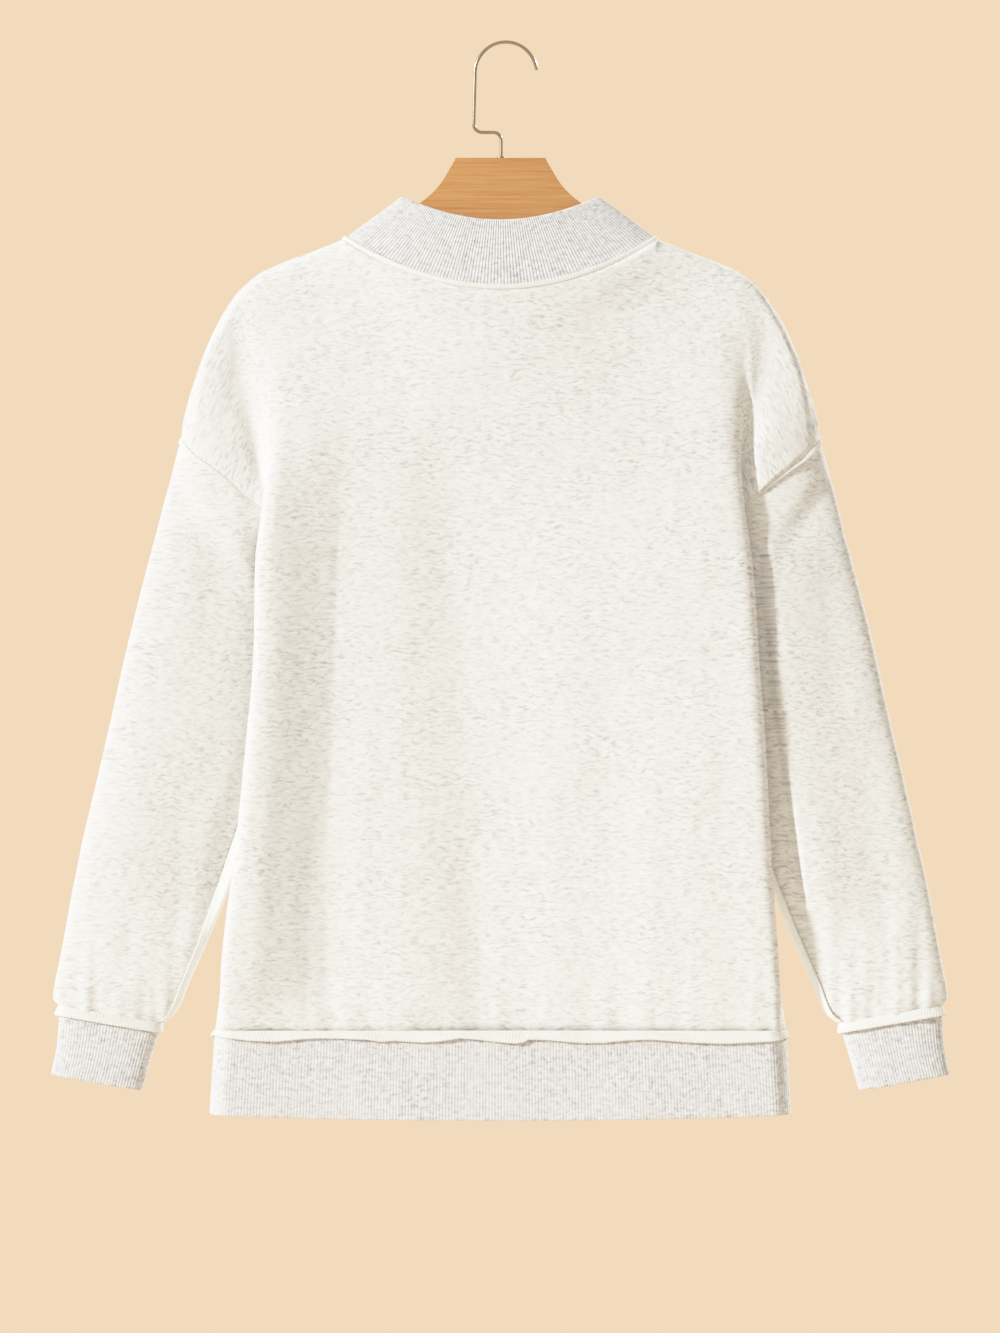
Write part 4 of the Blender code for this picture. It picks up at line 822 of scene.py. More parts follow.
# --- sleeves ----------------------------------------------------------------------------------
def ring(section, angles, inset=0.0):
    """Flattened tube section, set in by a distance."""
    c, s = np.cos(angles), np.sin(angles)
    c = np.sign(c) * np.abs(c) ** TUBE_FLATNESS
    s = np.sign(s) * np.abs(s) ** TUBE_FLATNESS
    half_x = (section.outer_x - section.inner_x) / 2
    half_drop = (section.outer_drop - section.inner_drop) / 2
    x = (section.outer_x + section.inner_x) / 2 + (half_x - inset) * c
    drop = (section.outer_drop + section.inner_drop) / 2 + half_drop * c
    return np.column_stack([x, drop, section.centre_y - (section.half_depth - inset) * s])


def armhole_ring(back_seam, front_seam):
    """The armhole seam in the same order as ring(), clear of the body where it lies behind it."""
    points = np.vstack([back_seam[:-1], front_seam[:0:-1]])
    hidden = smoothstep(points[:, 1], *HIDDEN_ARMHOLE)
    back = np.arange(len(points)) < len(back_seam)
    points[:, 2] += np.where(back, hidden * HIDDEN_ARMHOLE_SHIFT, 0.0)
    return points


def sleeve_grid(back_seam, front_seam):
    """Sleeve rings of the right side, which leave the armhole seam and become flattened tubes."""
    angles = np.concatenate([np.linspace(0, np.pi, len(back_seam) - 1, endpoint=False),
                             np.linspace(np.pi, 2 * np.pi, len(front_seam) - 1, endpoint=False)])
    values = np.array(SLEEVE_SECTIONS, float)
    t = chord(values[:, :4])
    rings = [ring(Sleeve(*row), angles) for row in smooth_through(t, values, split(t, SLEEVE_STEPS))]
    start = armhole_ring(back_seam, front_seam)
    toward = unit(rings[0] - start)
    edge = start + toward * SEAM_ROOM
    near = start + toward * (SEAM_ROOM + ALLOWANCE)
    middle = start * 0.5 + rings[0] * 0.5
    middle[:, 2] -= CAP_ROUND * np.sin(angles)
    coarse = np.array([edge, near, middle, *rings])
    step = np.linalg.norm(np.diff(coarse, axis=0), axis=2).mean(axis=1)
    t = np.concatenate([[0.0], np.cumsum(step)])
    counts = list(CAP_ROWS) + [TUBE_ROWS] * (len(t) - 1 - len(CAP_ROWS))
    fine = smooth_through(t, coarse.reshape(len(coarse), -1), split(t, counts))
    return fine.reshape(-1, coarse.shape[1], 3), angles


def build_sleeves(materials, back_seam, front_seam):
    """The two sleeves, and each one's grid with its outward normals."""
    grids, pieces = {}, {}
    plain, angles = sleeve_grid(back_seam, front_seam)
    facing = np.sin(angles)
    seen, hidden = smoothstep(facing, *SLEEVE_SIDE), smoothstep(-facing, *SLEEVE_SIDE)
    for word, side, back_creases, front_creases, seed in (
            ("left", LEFT, LEFT_SLEEVE_BACK, LEFT_SLEEVE_FRONT, LEFT_SLEEVE_SEED),
            ("right", RIGHT, RIGHT_SLEEVE_BACK, RIGHT_SLEEVE_FRONT, RIGHT_SLEEVE_SEED)):
        grid = plain * (side, 1, 1)
        out = outward_normals(grid, True, grid - grid.mean(axis=1, keepdims=True))
        x, drop = grid[..., 0], grid[..., 1]
        move = crease_depth(back_creases, x, drop) * seen + crease_depth(front_creases, x, drop) * hidden
        move = (move + unevenness(grid, seed)) * smoothstep(edge_distance(grid, True), 0, EDGE_FADE)
        shade = ledge_depth(x, drop, SLEEVE_LEDGE) if side == RIGHT else tuck_depth(x, drop)
        from_cuff = np.linalg.norm(grid - grid[-1], axis=2)
        gathers = CUFF_PUCKERING * puckers(from_cuff, x * CUFF_PUCKER_PITCH + seed)
        gathers = gathers * smoothstep(np.abs(facing), *CUFF_PUCKER_SIDE)
        grid = grid + out * (move + shade * seen + gathers)[..., None]
        turned = np.concatenate([grid, grid[:, :1]], axis=1)
        uv = np.stack([turned[..., 0] + turned[..., 2], -turned[..., 1]], axis=-1) * MM
        piece = grid_piece(f"{word}_sleeve_cloth", grid, closed_columns=True, uv=uv, outward=out)
        thicken(piece)
        pieces[f"{word}_sleeve_cloth"] = dress(piece, materials["jersey"], "jersey", f"{word}_sleeve")
        grids[word] = grid, out
    return pieces, grids


# --- rib bands --------------------------------------------------------------------------------
def surface_at(surface, f, height):
    """Point, outward normal and unit direction to the free edge of a band's outer surface."""
    d = SURFACE_STEP
    point = surface(f, height)
    across = surface(f + d, height) - surface(f - d, height)
    up = surface(f, height + d) - surface(f, height - d)
    normal = unit(np.cross(up, across))
    centre = point.mean(axis=0)
    side = normal[:, 0] * (point[:, 0] - centre[0]) + normal[:, 2] * (point[:, 2] - centre[2])
    return point, normal * np.sign(side)[:, None], unit(up)


def band(name, surface, rib, round_length, material, node):
    """A rib-knit band, ribbed on both faces, with a rounded free edge."""
    count = rib.count * rib.samples
    f = np.arange(count) / count
    wave = 0.5 * np.cos(2 * np.pi * (np.arange(count) % rib.samples) / rib.samples)
    groove, inner_groove = (0.5 - wave) ** RIB_NARROWNESS, (0.5 + wave) ** RIB_NARROWNESS
    waver = np.array([noise.noise(Vector((k / rib.samples * RIB_WAVE, rib.seed, 0.3)))
                      for k in range(count)])
    grid, v = [], []
    for row in BAND_ROWS:
        lean = RIB_LEAN * waver * math.sin(row.height * RIB_TURN + rib.seed)
        point, normal, up = surface_at(surface, f + lean, row.height)
        inset = row.inset + rib.depth * (row.outer * groove - row.inner * inner_groove)
        swell = RIB_SWELL * waver * math.sin(math.pi * row.height)
        grid.append(point - normal * (inset - swell)[:, None] - up * row.back)
        v.append(row.height * rib.height + row.inset)
    grid = np.array(grid)
    closed_f = np.append(f, 1.0) * round_length
    levels = np.append(v, v[-1] + WALL)
    uv = np.stack(np.meshgrid(closed_f, levels), axis=-1) * MM
    piece = grid_piece(name, grid, closed_rows=True, closed_columns=True, uv=uv)
    return dress(piece, material, "rib", node)


def even_angles(points_at, count):
    """Angles that cut a closed curve, given as a function of the angle, into equal lengths."""
    angles = np.linspace(0, 2 * np.pi, RING_SAMPLES)
    length = chord(points_at(angles))
    return np.interp(np.linspace(0, length[-1], count + 1), length, angles)


def neck_point(angle, rise):
    """Collar surface: angle 0 at the right neck point, rise 0 at the neck seam, 1 at the top."""
    c, s = np.cos(angle), np.sin(angle)
    back = s < 0
    seam_centre = np.where(back, BACK_NECK_DROP, FRONT_NECK_DROP)
    top_centre = np.where(back, COLLAR_TOP_BACK_DROP, COLLAR_TOP_FRONT_DROP)
    dip = np.where(back, s * s, np.abs(s) ** FRONT_DIP_POWER)
    seam_drop = NECK_POINT_DROP + (seam_centre - NECK_POINT_DROP) * dip
    top_drop = COLLAR_TOP_SIDE_DROP + (top_centre - COLLAR_TOP_SIDE_DROP) * dip
    half = NECK_HALF + (COLLAR_TOP_HALF - NECK_HALF) * rise
    depth = NECK_DEPTH + (COLLAR_TOP_DEPTH - NECK_DEPTH) * rise
    return np.column_stack([half * c, seam_drop + (top_drop - seam_drop) * rise, depth * s])


def collar_surface():
    angles = even_angles(lambda a: neck_point(a, 0.5), COLLAR_STEPS)

    def surface(f, height):
        whole = np.floor(f)
        angle = np.interp((f - whole) * COLLAR_STEPS, np.arange(COLLAR_STEPS + 1), angles)
        rise = GAP / COLLAR_HEIGHT + (1 - GAP / COLLAR_HEIGHT) * height
        return neck_point(angle + 2 * np.pi * whole, rise)

    return surface


def stadium(half, depth, fraction):
    """Points of a flattened ring, fraction of the way round from +x."""
    straight = 2 * (half - depth)
    arc = math.pi * depth
    s = (np.asarray(fraction) * 2 * (straight + arc) + arc / 2) % (2 * (straight + arc))
    right = -math.pi / 2 + s / depth
    left = math.pi / 2 + (s - arc - straight) / depth
    places = [s < arc, s < arc + straight, s < 2 * arc + straight]
    x = np.select(places, [half - depth + depth * np.cos(right), half - depth - (s - arc),
                           depth - half + depth * np.cos(left)],
                  depth - half + (s - 2 * arc - straight))
    y = np.select(places, [depth * np.sin(right), depth, depth * np.sin(left)], -depth)
    return x, y


def hem_surface(f, height):
    """Hem band surface: height 0 at the seam, 1 at the bottom edge."""
    half = HEM_TOP_HALF + (HEM_BOTTOM_HALF - HEM_TOP_HALF) * height
    x, y = stadium(half, HEM_HALF_DEPTH, f)
    fall = HEM_BOTTOM_DROP - HEM_SEAM_DROP + HEM_FALL - HEM_END_RISE * (x / HEM_BOTTOM_HALF) ** 2
    drop = HEM_SEAM_DROP + GAP / 2 + fall * height
    ripple = rippled(LONG_RIPPLE, x, 1.0) + rippled(SHORT_RIPPLE, x, y / RIPPLE_DEPTH)
    return np.column_stack([x, drop, CENTRE_Y + y + ripple * height])


def cuff_surface(side):
    """A cuff's surface, and the distance round its seam."""
    fine = np.linspace(0, 2 * np.pi, RING_SAMPLES)
    length = chord(ring(CUFF_SECTIONS[0], fine))
    levels = np.array(CUFF_SECTIONS, float)
    rows = np.array([levels[0] * 2 - levels[1], *levels, levels[-1] * 2 - levels[-2]])

    def surface(f, height):
        whole = np.floor(f)
        angle = np.interp((f - whole) * length[-1], length, fine)
        section = Sleeve(*smooth_through(CUFF_LEVELS, rows, [height])[0])
        return ring(section, angle) * (side, 1, 1)

    return surface, length[-1]


def build_bands(materials):
    """The rib bands, and the surfaces that they lie on."""
    surfaces = {"neck": collar_surface(), "hem": hem_surface}
    rounds = {seam: chord(surface(np.linspace(0, 1, ROUND_SAMPLES), 0.5))[-1]
              for seam, surface in surfaces.items()}
    bands = [("collar_rib", "neck", COLLAR_RIBBING, "rib_collar"),
             ("hem_rib", "hem", HEM_RIBBING, "rib_hem_band")]
    for side, word in ((LEFT, "left"), (RIGHT, "right")):
        surfaces[word], rounds[word] = cuff_surface(side)
        ribbing = CUFF_RIBBING._replace(seed=CUFF_RIBBING.seed + side)
        bands.append((f"{word}_cuff_rib", word, ribbing, f"{word}_rib_cuff"))
    pieces = {name: band(name, surfaces[seam], ribbing, rounds[seam], materials["rib"], node)
              for name, seam, ribbing, node in bands}
    return pieces, surfaces


# --- seam allowances --------------------------------------------------------------------------
def lip(seam, base, normals, lie, materials, thick=LIP_THICK, closed=False, words="seam_allowance"):
    """A rounded strip of cloth over base[along][across], with its overlocking over the free edge."""
    u = np.linspace(0, 1, base.shape[1])
    half = np.sqrt(np.clip(1 - np.abs(2 * u - 1) ** LIP_ROUNDING, 0, 1))
    wave = np.array([noise.noise(Vector(point / LIP_WAVE_SIZE)) for point in base[:, -1]])
    flare = lie.flare * (1 + LIP_WAVE * wave)[:, None]
    stand = lie.lift * u ** LIP_RISE + flare * u ** LIP_FLARE - LIP_SINK * (1 - u)
    top = base + normals * (stand + thick / 2 * (1 + half))[..., None]
    bottom = base + normals * (stand + thick / 2 * (1 - half))[..., None]
    shell = np.concatenate([top, bottom[:, -2:0:-1]], axis=1)
    out = shell - shell.mean(axis=1, keepdims=True)
    length = chord(base[:, 0])
    if closed:
        length = np.append(length, length[-1] + np.linalg.norm(base[0, 0] - base[-1, 0]))
    around = np.arange(shell.shape[1] + 1) * LIP_WRAP
    uv = np.stack(np.meshgrid(length, around, indexing="ij"), axis=-1) * MM
    piece = grid_piece(f"{seam}_lip", shell, closed_rows=closed, closed_columns=True, uv=uv,
                       outward=out, caps=not closed)
    dress(piece, materials["seam"], "seam", f"{seam}_{words}")
    threads = overlock(f"{seam}_lip_thread", top, normals, closed)
    return [piece, dress(threads, materials["thread"], "seam")]


def overlock(name, top, normals, closed):
    """Thread that runs back and forth over an allowance and round its free edge."""
    if closed:
        top = np.concatenate([top, top[:1]])
        normals = np.concatenate([normals, normals[:1]])
    length = chord(top[:, top.shape[1] // 2])
    stitches = int(length[-1] / STITCH)
    last = top.shape[1] - 1
    points = []
    for i in range(stitches):
        for share, u, rise in OVERLOCK:
            s = (i + share) / stitches * length[-1]
            r = min(int(np.searchsorted(length, s, side="right")) - 1, len(top) - 2)
            part = (s - length[r]) / (length[r + 1] - length[r])
            k = min(int(u * last), last - 1)
            across = u * last - k
            at = [(1 - across) * g[k] + across * g[k + 1] for g in (top[r], top[r + 1])]
            up = normals[r, k]
            outward = unit(top[r, last] - top[r, 0]) * (THREAD if u == 1.0 else 0.0)
            points.append((1 - part) * at[0] + part * at[1] + up * rise + outward)
    return wire_piece(name, points, THREAD, 0, closed)


def strip_lip(seam, low, high, normals, lie, materials, words="seam_allowance"):
    """A lip between two lines of points, of which it takes the shares that lie names."""
    u = np.linspace(lie.start, lie.end, LIP_POINTS)[None, :, None]
    base = low[:, None] * (1 - u) + high[:, None] * u
    return lip(seam, base, np.repeat(normals[:, None], LIP_POINTS, axis=1), lie, materials, words=words)


def band_lip(seam, surface, lie, count, materials, thick=BAND_LIP_THICK):
    """A lip all round a rib band."""
    f = np.linspace(0, 1, count, endpoint=False)
    ends = hem_lip_end(surface(f, 0.0)) if lie.end is None else np.full(count, lie.end)
    share = ((ends - ends.min()) / max(ends.max() - ends.min(), 1e-9))[:, None]
    base, normals = [], []
    for u in np.linspace(0, 1, LIP_POINTS):
        low, high = [surface_at(surface, f, lie.start + (end - lie.start) * u)
                     for end in (ends.min(), ends.max())]
        base.append(low[0] * (1 - share) + high[0] * share)
        normals.append(low[1])
    base, normals = (np.array(rows).transpose(1, 0, 2) for rows in (base, normals))
    return lip(seam, base, normals, lie, materials, thick, closed=True)


def hem_lip_end(points):
    """Where the hem's allowance ends, as a share of the band's height."""
    x = points[:, 0]
    knots = np.array(HEM_LIP_EDGE)
    back = np.interp(x, knots[:, 0], knots[:, 1])
    front = FRONT_LIP_DROP + rippled(FRONT_LIP_LONG, x, 1.0) + rippled(FRONT_LIP_SHORT, x)
    side = smoothstep(points[:, 2], CENTRE_Y - LIP_SIDE, CENTRE_Y + LIP_SIDE)
    return (back * (1 - side) + front * side - HEM_SEAM_DROP) / (HEM_BOTTOM_DROP - HEM_SEAM_DROP)


def build_lips(materials, surfaces, sleeves, front, front_out):
    """Each seam's allowance and thread, by the seam's name."""
    lips = {"neck": band_lip("neck", surfaces["neck"], NECK_LIE, NECK_LIP_POINTS, materials, LIP_THICK),
            "hem": band_lip("hem", surfaces["hem"], HEM_LIE, HEM_LIP_POINTS, materials)}
    for word, order in (("left", slice(None)), ("right", slice(None, None, -1))):
        seam = f"{word}_cuff"
        lips[seam] = band_lip(seam, surfaces[word], CUFF_LIE, CUFF_LIP_POINTS, materials)

        seam = f"{word}_armhole"
        grid, out = sleeves[word]
        count = grid.shape[1]
        fold = UNDERARM_COLUMN * ROW_FINE
        columns = np.arange(fold + ROW_FINE // 2, fold + count - ROW_FINE // 2 + 1) % count
        lips[seam] = strip_lip(seam, grid[0, columns], grid[CAP_ROWS[0], columns], out[1, columns],
                               ARMHOLE_LIE, materials, "allowance")

        seam = f"{word}_underarm"
        rows = slice(sum(CAP_ROWS), -UNDERARM_END)
        first, last = UNDERARM_COLUMNS
        columns = np.linspace(fold + first, fold + last, LIP_POINTS).astype(int)
        lips[seam] = lip(seam, grid[rows][:, columns], out[rows][:, columns], UNDERARM_LIE, materials,
                         words="allowance")

        seam = f"{word}_side"
        half, half_out = front[:, order], front_out[:, order]
        drop = half[:, 0, 1]
        rows = (drop > SIDE_SEAM[0].drop + SIDE_LIP_ENDS[0]) & (drop < HEM_SEAM_DROP - SIDE_LIP_ENDS[1])
        lips[seam] = strip_lip(seam, half[rows, 0], half[rows, COLUMN_FINE], half_out[rows, 1],
                               SIDE_LIE, materials)

        seam = f"{word}_shoulder"
        last = int((sum(FRONT_COLUMN_STEPS) + SHOULDER_LIP_END) * COLUMN_FINE)
        columns = slice(COLUMN_FINE, last)
        lips[seam] = strip_lip(seam, half[0, columns], half[ROW_FINE, columns],
                               half_out[ROW_FINE // 2, columns], SHOULDER_LIE, materials)
    return lips


# --- hanger -----------------------------------------------------------------------------------
def shoulder_drop(x):
    knots = np.array(SHOULDER_SEAM, float)
    return float(np.interp(x, knots[:, 0], knots[:, 1]))


def hanger_outline():
    """Right half of the hanger's outline as x and drop, from the centre top to the centre."""
    corner, bow = HANGER_CORNER, HANGER_CORNER * HANGER_CORNER_BOW
    top = [(0.0, HANGER_TOP_DROP), (HANGER_TOP_HALF - corner, HANGER_TOP_DROP),
           (HANGER_TOP_HALF - bow, HANGER_TOP_DROP + bow), (HANGER_TOP_HALF, HANGER_TOP_DROP + corner)]
    arm = []
    for x in HANGER_ARM_X:
        reach = HANGER_SLOPE_REACH
        slope = (shoulder_drop(x + reach) - shoulder_drop(x - reach)) / (2 * reach)
        fall = HANGER_TIP_FALL * float(smoothstep(x, *HANGER_TIP_CURVE))
        arm.append((x, shoulder_drop(x) + fall + (WALL + HANGER_SEAT) * math.sqrt(1 + slope * slope)))
    tip = [(HANGER_TIP_X + p.x, arm[-1][1] + p.drop) for p in HANGER_TIP]
    under = [(x, shoulder_drop(x) + HANGER_ARM_HEIGHT) for x in HANGER_UNDER_X]
    points = top + HANGER_FLARE + arm + tip + under + HANGER_UNDER
    t = chord(points)
    places = [t[0]]
    for a, b in zip(t, t[1:]):
        places += list(np.linspace(a, b, max(int((b - a) / HANGER_STEP), 1) + 1)[1:])
    return [tuple(p) for p in smooth_through(t, points, places)]


def build_hanger(materials):
    half = hanger_outline()
    outline = half + [(-x, drop) for x, drop in reversed(half[1:-1])]
    curve = poly_curve("hanger_arms", "2D", np.array([(x, -drop, 0.0) for x, drop in outline]) * MM, True)
    curve.fill_mode = "BOTH"
    curve.extrude = HANGER_THICK / 2 * MM
    flat = add_object("flat_hanger", curve)
    flat.rotation_euler = (math.pi / 2, 0.0, 0.0)
    weld = flat.modifiers.new("weld", "WELD")
    weld.merge_threshold = HANGER_WELD * MM
    edge = flat.modifiers.new("rounded edges", "BEVEL")
    edge.width = HANGER_ROUNDING * MM
    edge.segments = HANGER_BEVEL_STEPS
    edge.limit_method = "ANGLE"
    edge.angle_limit = math.radians(HANGER_BEVEL_ANGLE)
    bpy.context.view_layer.update()
    mesh = bpy.data.meshes.new_from_object(flat.evaluated_get(bpy.context.evaluated_depsgraph_get()))
    mesh.transform(flat.matrix_world)
    bpy.data.objects.remove(flat, do_unlink=True)
    mesh.materials.clear()
    mesh.shade_smooth()
    mesh.set_sharp_from_angle(angle=math.radians(HANGER_SHARP_ANGLE))
    dress(add_object("hanger_arms", mesh), materials["wood"], "wood", "hanger_wood")


def bend_points(bend, start, end, count, turn):
    """Points on a bend; turn puts the sine and the cosine of an angle to x and drop."""
    for angle in np.radians(np.linspace(start, end, count)):
        x, drop = turn(math.sin(angle), math.cos(angle))
        yield bend.x + bend.radius * x, bend.drop + bend.radius * drop


def hook_route():
    """Centre line of the wire, from its free tip over the arch and down to the wood."""
    elbow, bend = HOOK_ELBOW, HOOK_STEM_BEND
    route = list(bend_points(HOOK_ARCH, HOOK_TIP_ANGLE, 180, HOOK_ARCH_POINTS, lambda s, c: (c, -s)))
    route += HOOK_LEG
    route += bend_points(elbow, HOOK_ELBOW_ANGLE, 90, HOOK_BEND_POINTS, lambda s, c: (-c, s))
    route.append((HOOK_CROSS_END_X, elbow.drop + elbow.radius))
    route += bend_points(bend, HOOK_BEND_ANGLE, 90, HOOK_BEND_POINTS, lambda s, c: (s, -c))
    route.append((bend.x + bend.radius, HANGER_TOP_DROP - HOOK_STEM_GAP))
    return route


def build_hook(materials):
    route = [(x, drop, 0.0) for x, drop in hook_route()]
    wire = wire_piece("wire_hook", route, WIRE_RADIUS, WIRE_ROUNDNESS)
    dress(wire, materials["steel"], "steel", "hook_wire")
    foot = FERRULE_HEIGHT - FERRULE_GAP
    profile = [(FERRULE_BORE, 0.0), (FERRULE_RADIUS - FERRULE_EDGE.x, 0.0),
               (FERRULE_RADIUS, FERRULE_EDGE.drop), (FERRULE_RADIUS, foot), (FERRULE_BORE, foot)]
    angles = np.linspace(0, 2 * np.pi, FERRULE_POINTS, endpoint=False)
    stem_x = HOOK_STEM_BEND.x + HOOK_STEM_BEND.radius
    grid = np.array([np.column_stack([stem_x + r * np.cos(angles),
                                      np.full(len(angles), HANGER_TOP_DROP - FERRULE_HEIGHT + fall),
                                      r * np.sin(angles)]) for r, fall in profile])
    ferrule = grid_piece("hook_ferrule", grid, closed_rows=True, closed_columns=True)
    dress(ferrule, materials["steel"], "steel")


# --- materials --------------------------------------------------------------------------------
SWAY_SIZE = 0.013              # size of the patches in which the fibres lean alike, in metres
RELIEF = 0.15
# The textures: size of a cell along and across the courses, or along x, y and z, in metres
GRAIN, TUFTS, CLOUDS = (0.0016, 0.0012), (0.016, 0.009), (0.06, 0.045)
FIBRES, LOOPS = (0.0030, 0.0008), (0.0009, 0.00117)
SEAM_TONE, SEAM_NAP = (0.002, 0.0011), (0.0011, 0.0005)
THREAD_TONE, STEEL_WEAR, FLOOR_CLOUDS = (0.0007,) * 3, (0.02,) * 3, (0.35,) * 3
WOOD_GRAIN, WOOD_PORES, WOOD_PATCHES = (0.09, 0.004, 0.0019), (0.014, 0.0012, 0.00045), (0.16, 0.03, 0.012)
Knit = namedtuple("Knit", "name light mid dark streak fleck sway")
JERSEY = Knit("heather jersey", (247, 246, 243), (234, 233, 230), (172, 173, 175),
              (0.0076, 0.0023), (0.0040, 0.0011), 0.0075)
RIB = Knit("heather rib", (229, 229, 231), (211, 211, 214), (160, 162, 168),
           (0.0052, 0.0034), (0.0040, 0.0012), 0.003)


def srgb(red, green, blue):
    """Scene-linear colour of an 8-bit one."""
    values = [v / 255 for v in (red, green, blue)]
    return tuple(v / 12.92 if v <= 0.04045 else ((v + 0.055) / 1.055) ** 2.4 for v in values) + (1.0,)


class Tree:
    """Short hand for building nodes."""

    def __init__(self, owner):
        owner.use_nodes = True
        self.tree = owner.node_tree

    def add(self, kind, **settings):
        node = self.tree.nodes.new(kind)
        for key, value in settings.items():
            setattr(node, key, value)
        return node

    def link(self, source, target):
        self.tree.links.new(source, target)

    def mix(self, share, a, b):
        node = self.add("ShaderNodeMix", data_type="RGBA")
        for socket, value in ((node.inputs[0], share), (node.inputs[6], a), (node.inputs[7], b)):
            if isinstance(value, bpy.types.NodeSocket):
                self.link(value, socket)
            else:
                socket.default_value = value
        return node.outputs[2]


class Nodes(Tree):
    """Short hand for building a material."""

    def __init__(self, name, roughness, metallic=0.0):
        self.material = bpy.data.materials.new(name)
        super().__init__(self.material)
        self.shader = self.tree.nodes["Principled BSDF"]
        self.shader.inputs["Roughness"].default_value = roughness
        self.shader.inputs["Metallic"].default_value = metallic

    def uv(self, size_u, size_v, sway=0.0):
        """The knit's coordinates, counted in cells of this size in metres, and swaying this far."""
        here = self.add("ShaderNodeUVMap", uv_map="knit").outputs["UV"]
        if sway:
            swirl = self.add("ShaderNodeTexNoise")
            swirl.inputs["Detail"].default_value = 1.0
            self.link(self.scaled(here, (1 / SWAY_SIZE,) * 3), swirl.inputs["Vector"])
            swirl.inputs["Scale"].default_value = 1.0
            moved = self.add("ShaderNodeVectorMath", operation="MULTIPLY_ADD")
            self.link(swirl.outputs["Color"], moved.inputs[0])
            moved.inputs[1].default_value = (0.0, sway, 0.0)
            self.link(here, moved.inputs[2])
            here = moved.outputs["Vector"]
        return self.scaled(here, (1 / size_u, 1 / size_v, 1))

    def place(self, size_x, size_y, size_z):
        here = self.add("ShaderNodeTexCoord")
        return self.scaled(here.outputs["Object"], (1 / size_x, 1 / size_y, 1 / size_z))

    def scaled(self, socket, scale):
        mapping = self.add("ShaderNodeMapping")
        mapping.inputs["Scale"].default_value = scale
        self.link(socket, mapping.inputs["Vector"])
        return mapping.outputs["Vector"]

    def noise(self, vector, detail, roughness=0.5, distortion=0.0):
        node = self.add("ShaderNodeTexNoise")
        node.inputs["Scale"].default_value = 1.0
        node.inputs["Detail"].default_value = detail
        node.inputs["Roughness"].default_value = roughness
        node.inputs["Distortion"].default_value = distortion
        self.link(vector, node.inputs["Vector"])
        return node.outputs["Fac"]

    def ramp(self, value, *stops):
        node = self.add("ShaderNodeValToRGB")
        elements = node.color_ramp.elements
        while len(elements) < len(stops):
            elements.new(0.5)
        for element, (position, colour) in zip(elements, stops):
            element.position = position
            element.color = colour
        self.link(value, node.inputs["Fac"])
        return node.outputs["Color"]

    def patches(self, ground, colour, texture, *stops):
        """Lay a colour over the ground; a stop is a value of the texture and the colour's share."""
        shares = self.ramp(texture, *[(value, (share, share, share, 1)) for value, share in stops])
        return self.mix(shares, ground, colour)

    def bump(self, height, strength, distance, below=None):
        node = self.add("ShaderNodeBump")
        node.inputs["Strength"].default_value = strength
        node.inputs["Distance"].default_value = distance
        self.link(height, node.inputs["Height"])
        if below is not None:
            self.link(below, node.inputs["Normal"])
        return node.outputs["Normal"]

    def finish(self, colour, normal=None):
        self.link(colour, self.shader.inputs["Base Color"])
        if normal is not None:
            self.link(normal, self.shader.inputs["Normal"])
        return self.material


def knit_material(knit):
    """Marled knit: short grey fibres along the courses in an off-white ground."""
    n = Nodes(knit.name, roughness=0.92)
    n.shader.inputs["Sheen Weight"].default_value = 0.12
    n.shader.inputs["Sheen Roughness"].default_value = 0.5
    light, mid, dark = (srgb(*colour) for colour in (knit.light, knit.mid, knit.dark))
    streaks = n.noise(n.uv(*knit.streak, knit.sway), detail=2, roughness=0.6, distortion=0.3)
    ground = n.ramp(streaks, (0.3, dark), (0.5, mid), (0.66, light))
    flecks = n.noise(n.uv(*knit.fleck, knit.sway), detail=1)
    ground = n.patches(ground, n.mix(0.4, ground, dark), flecks, (0.5, 0), (0.82, 0.8))
    grain = n.noise(n.uv(*GRAIN), detail=1, roughness=0.6)
    ground = n.patches(ground, n.mix(0.4, ground, dark), grain, (0.35, 0.3), (0.6, 0))
    tufts = n.noise(n.uv(*TUFTS), detail=2, roughness=0.6)
    ground = n.patches(ground, n.mix(0.5, ground, dark), tufts, (0.42, 0), (0.72, 0.6))
    clouds = n.noise(n.uv(*CLOUDS), detail=2)
    ground = n.patches(ground, mid, clouds, (0.3, 0), (0.7, 0.45))
    fibres = n.noise(n.uv(*FIBRES, knit.sway), detail=2, roughness=0.6)
    loops = n.noise(n.uv(*LOOPS), detail=0)
    relief = n.bump(fibres, strength=RELIEF, distance=0.0003)
    return n.finish(ground, n.bump(loops, strength=RELIEF, distance=0.0002, below=relief))


def seam_material():
    n = Nodes("cream overlocked edge", roughness=0.9)
    n.shader.inputs["Sheen Weight"].default_value = 0.1
    tone = n.noise(n.uv(*SEAM_TONE), detail=2, roughness=0.6)
    ground = n.ramp(tone, (0.32, srgb(228, 227, 222)), (0.62, srgb(247, 246, 241)))
    return n.finish(ground, n.bump(n.noise(n.uv(*SEAM_NAP), detail=1), strength=0.4, distance=0.0004))


def thread_material():
    n = Nodes("overlock thread", roughness=0.7)
    tone = n.noise(n.place(*THREAD_TONE), detail=1)
    return n.finish(n.ramp(tone, (0.3, srgb(232, 231, 226)), (0.7, srgb(248, 247, 243))))


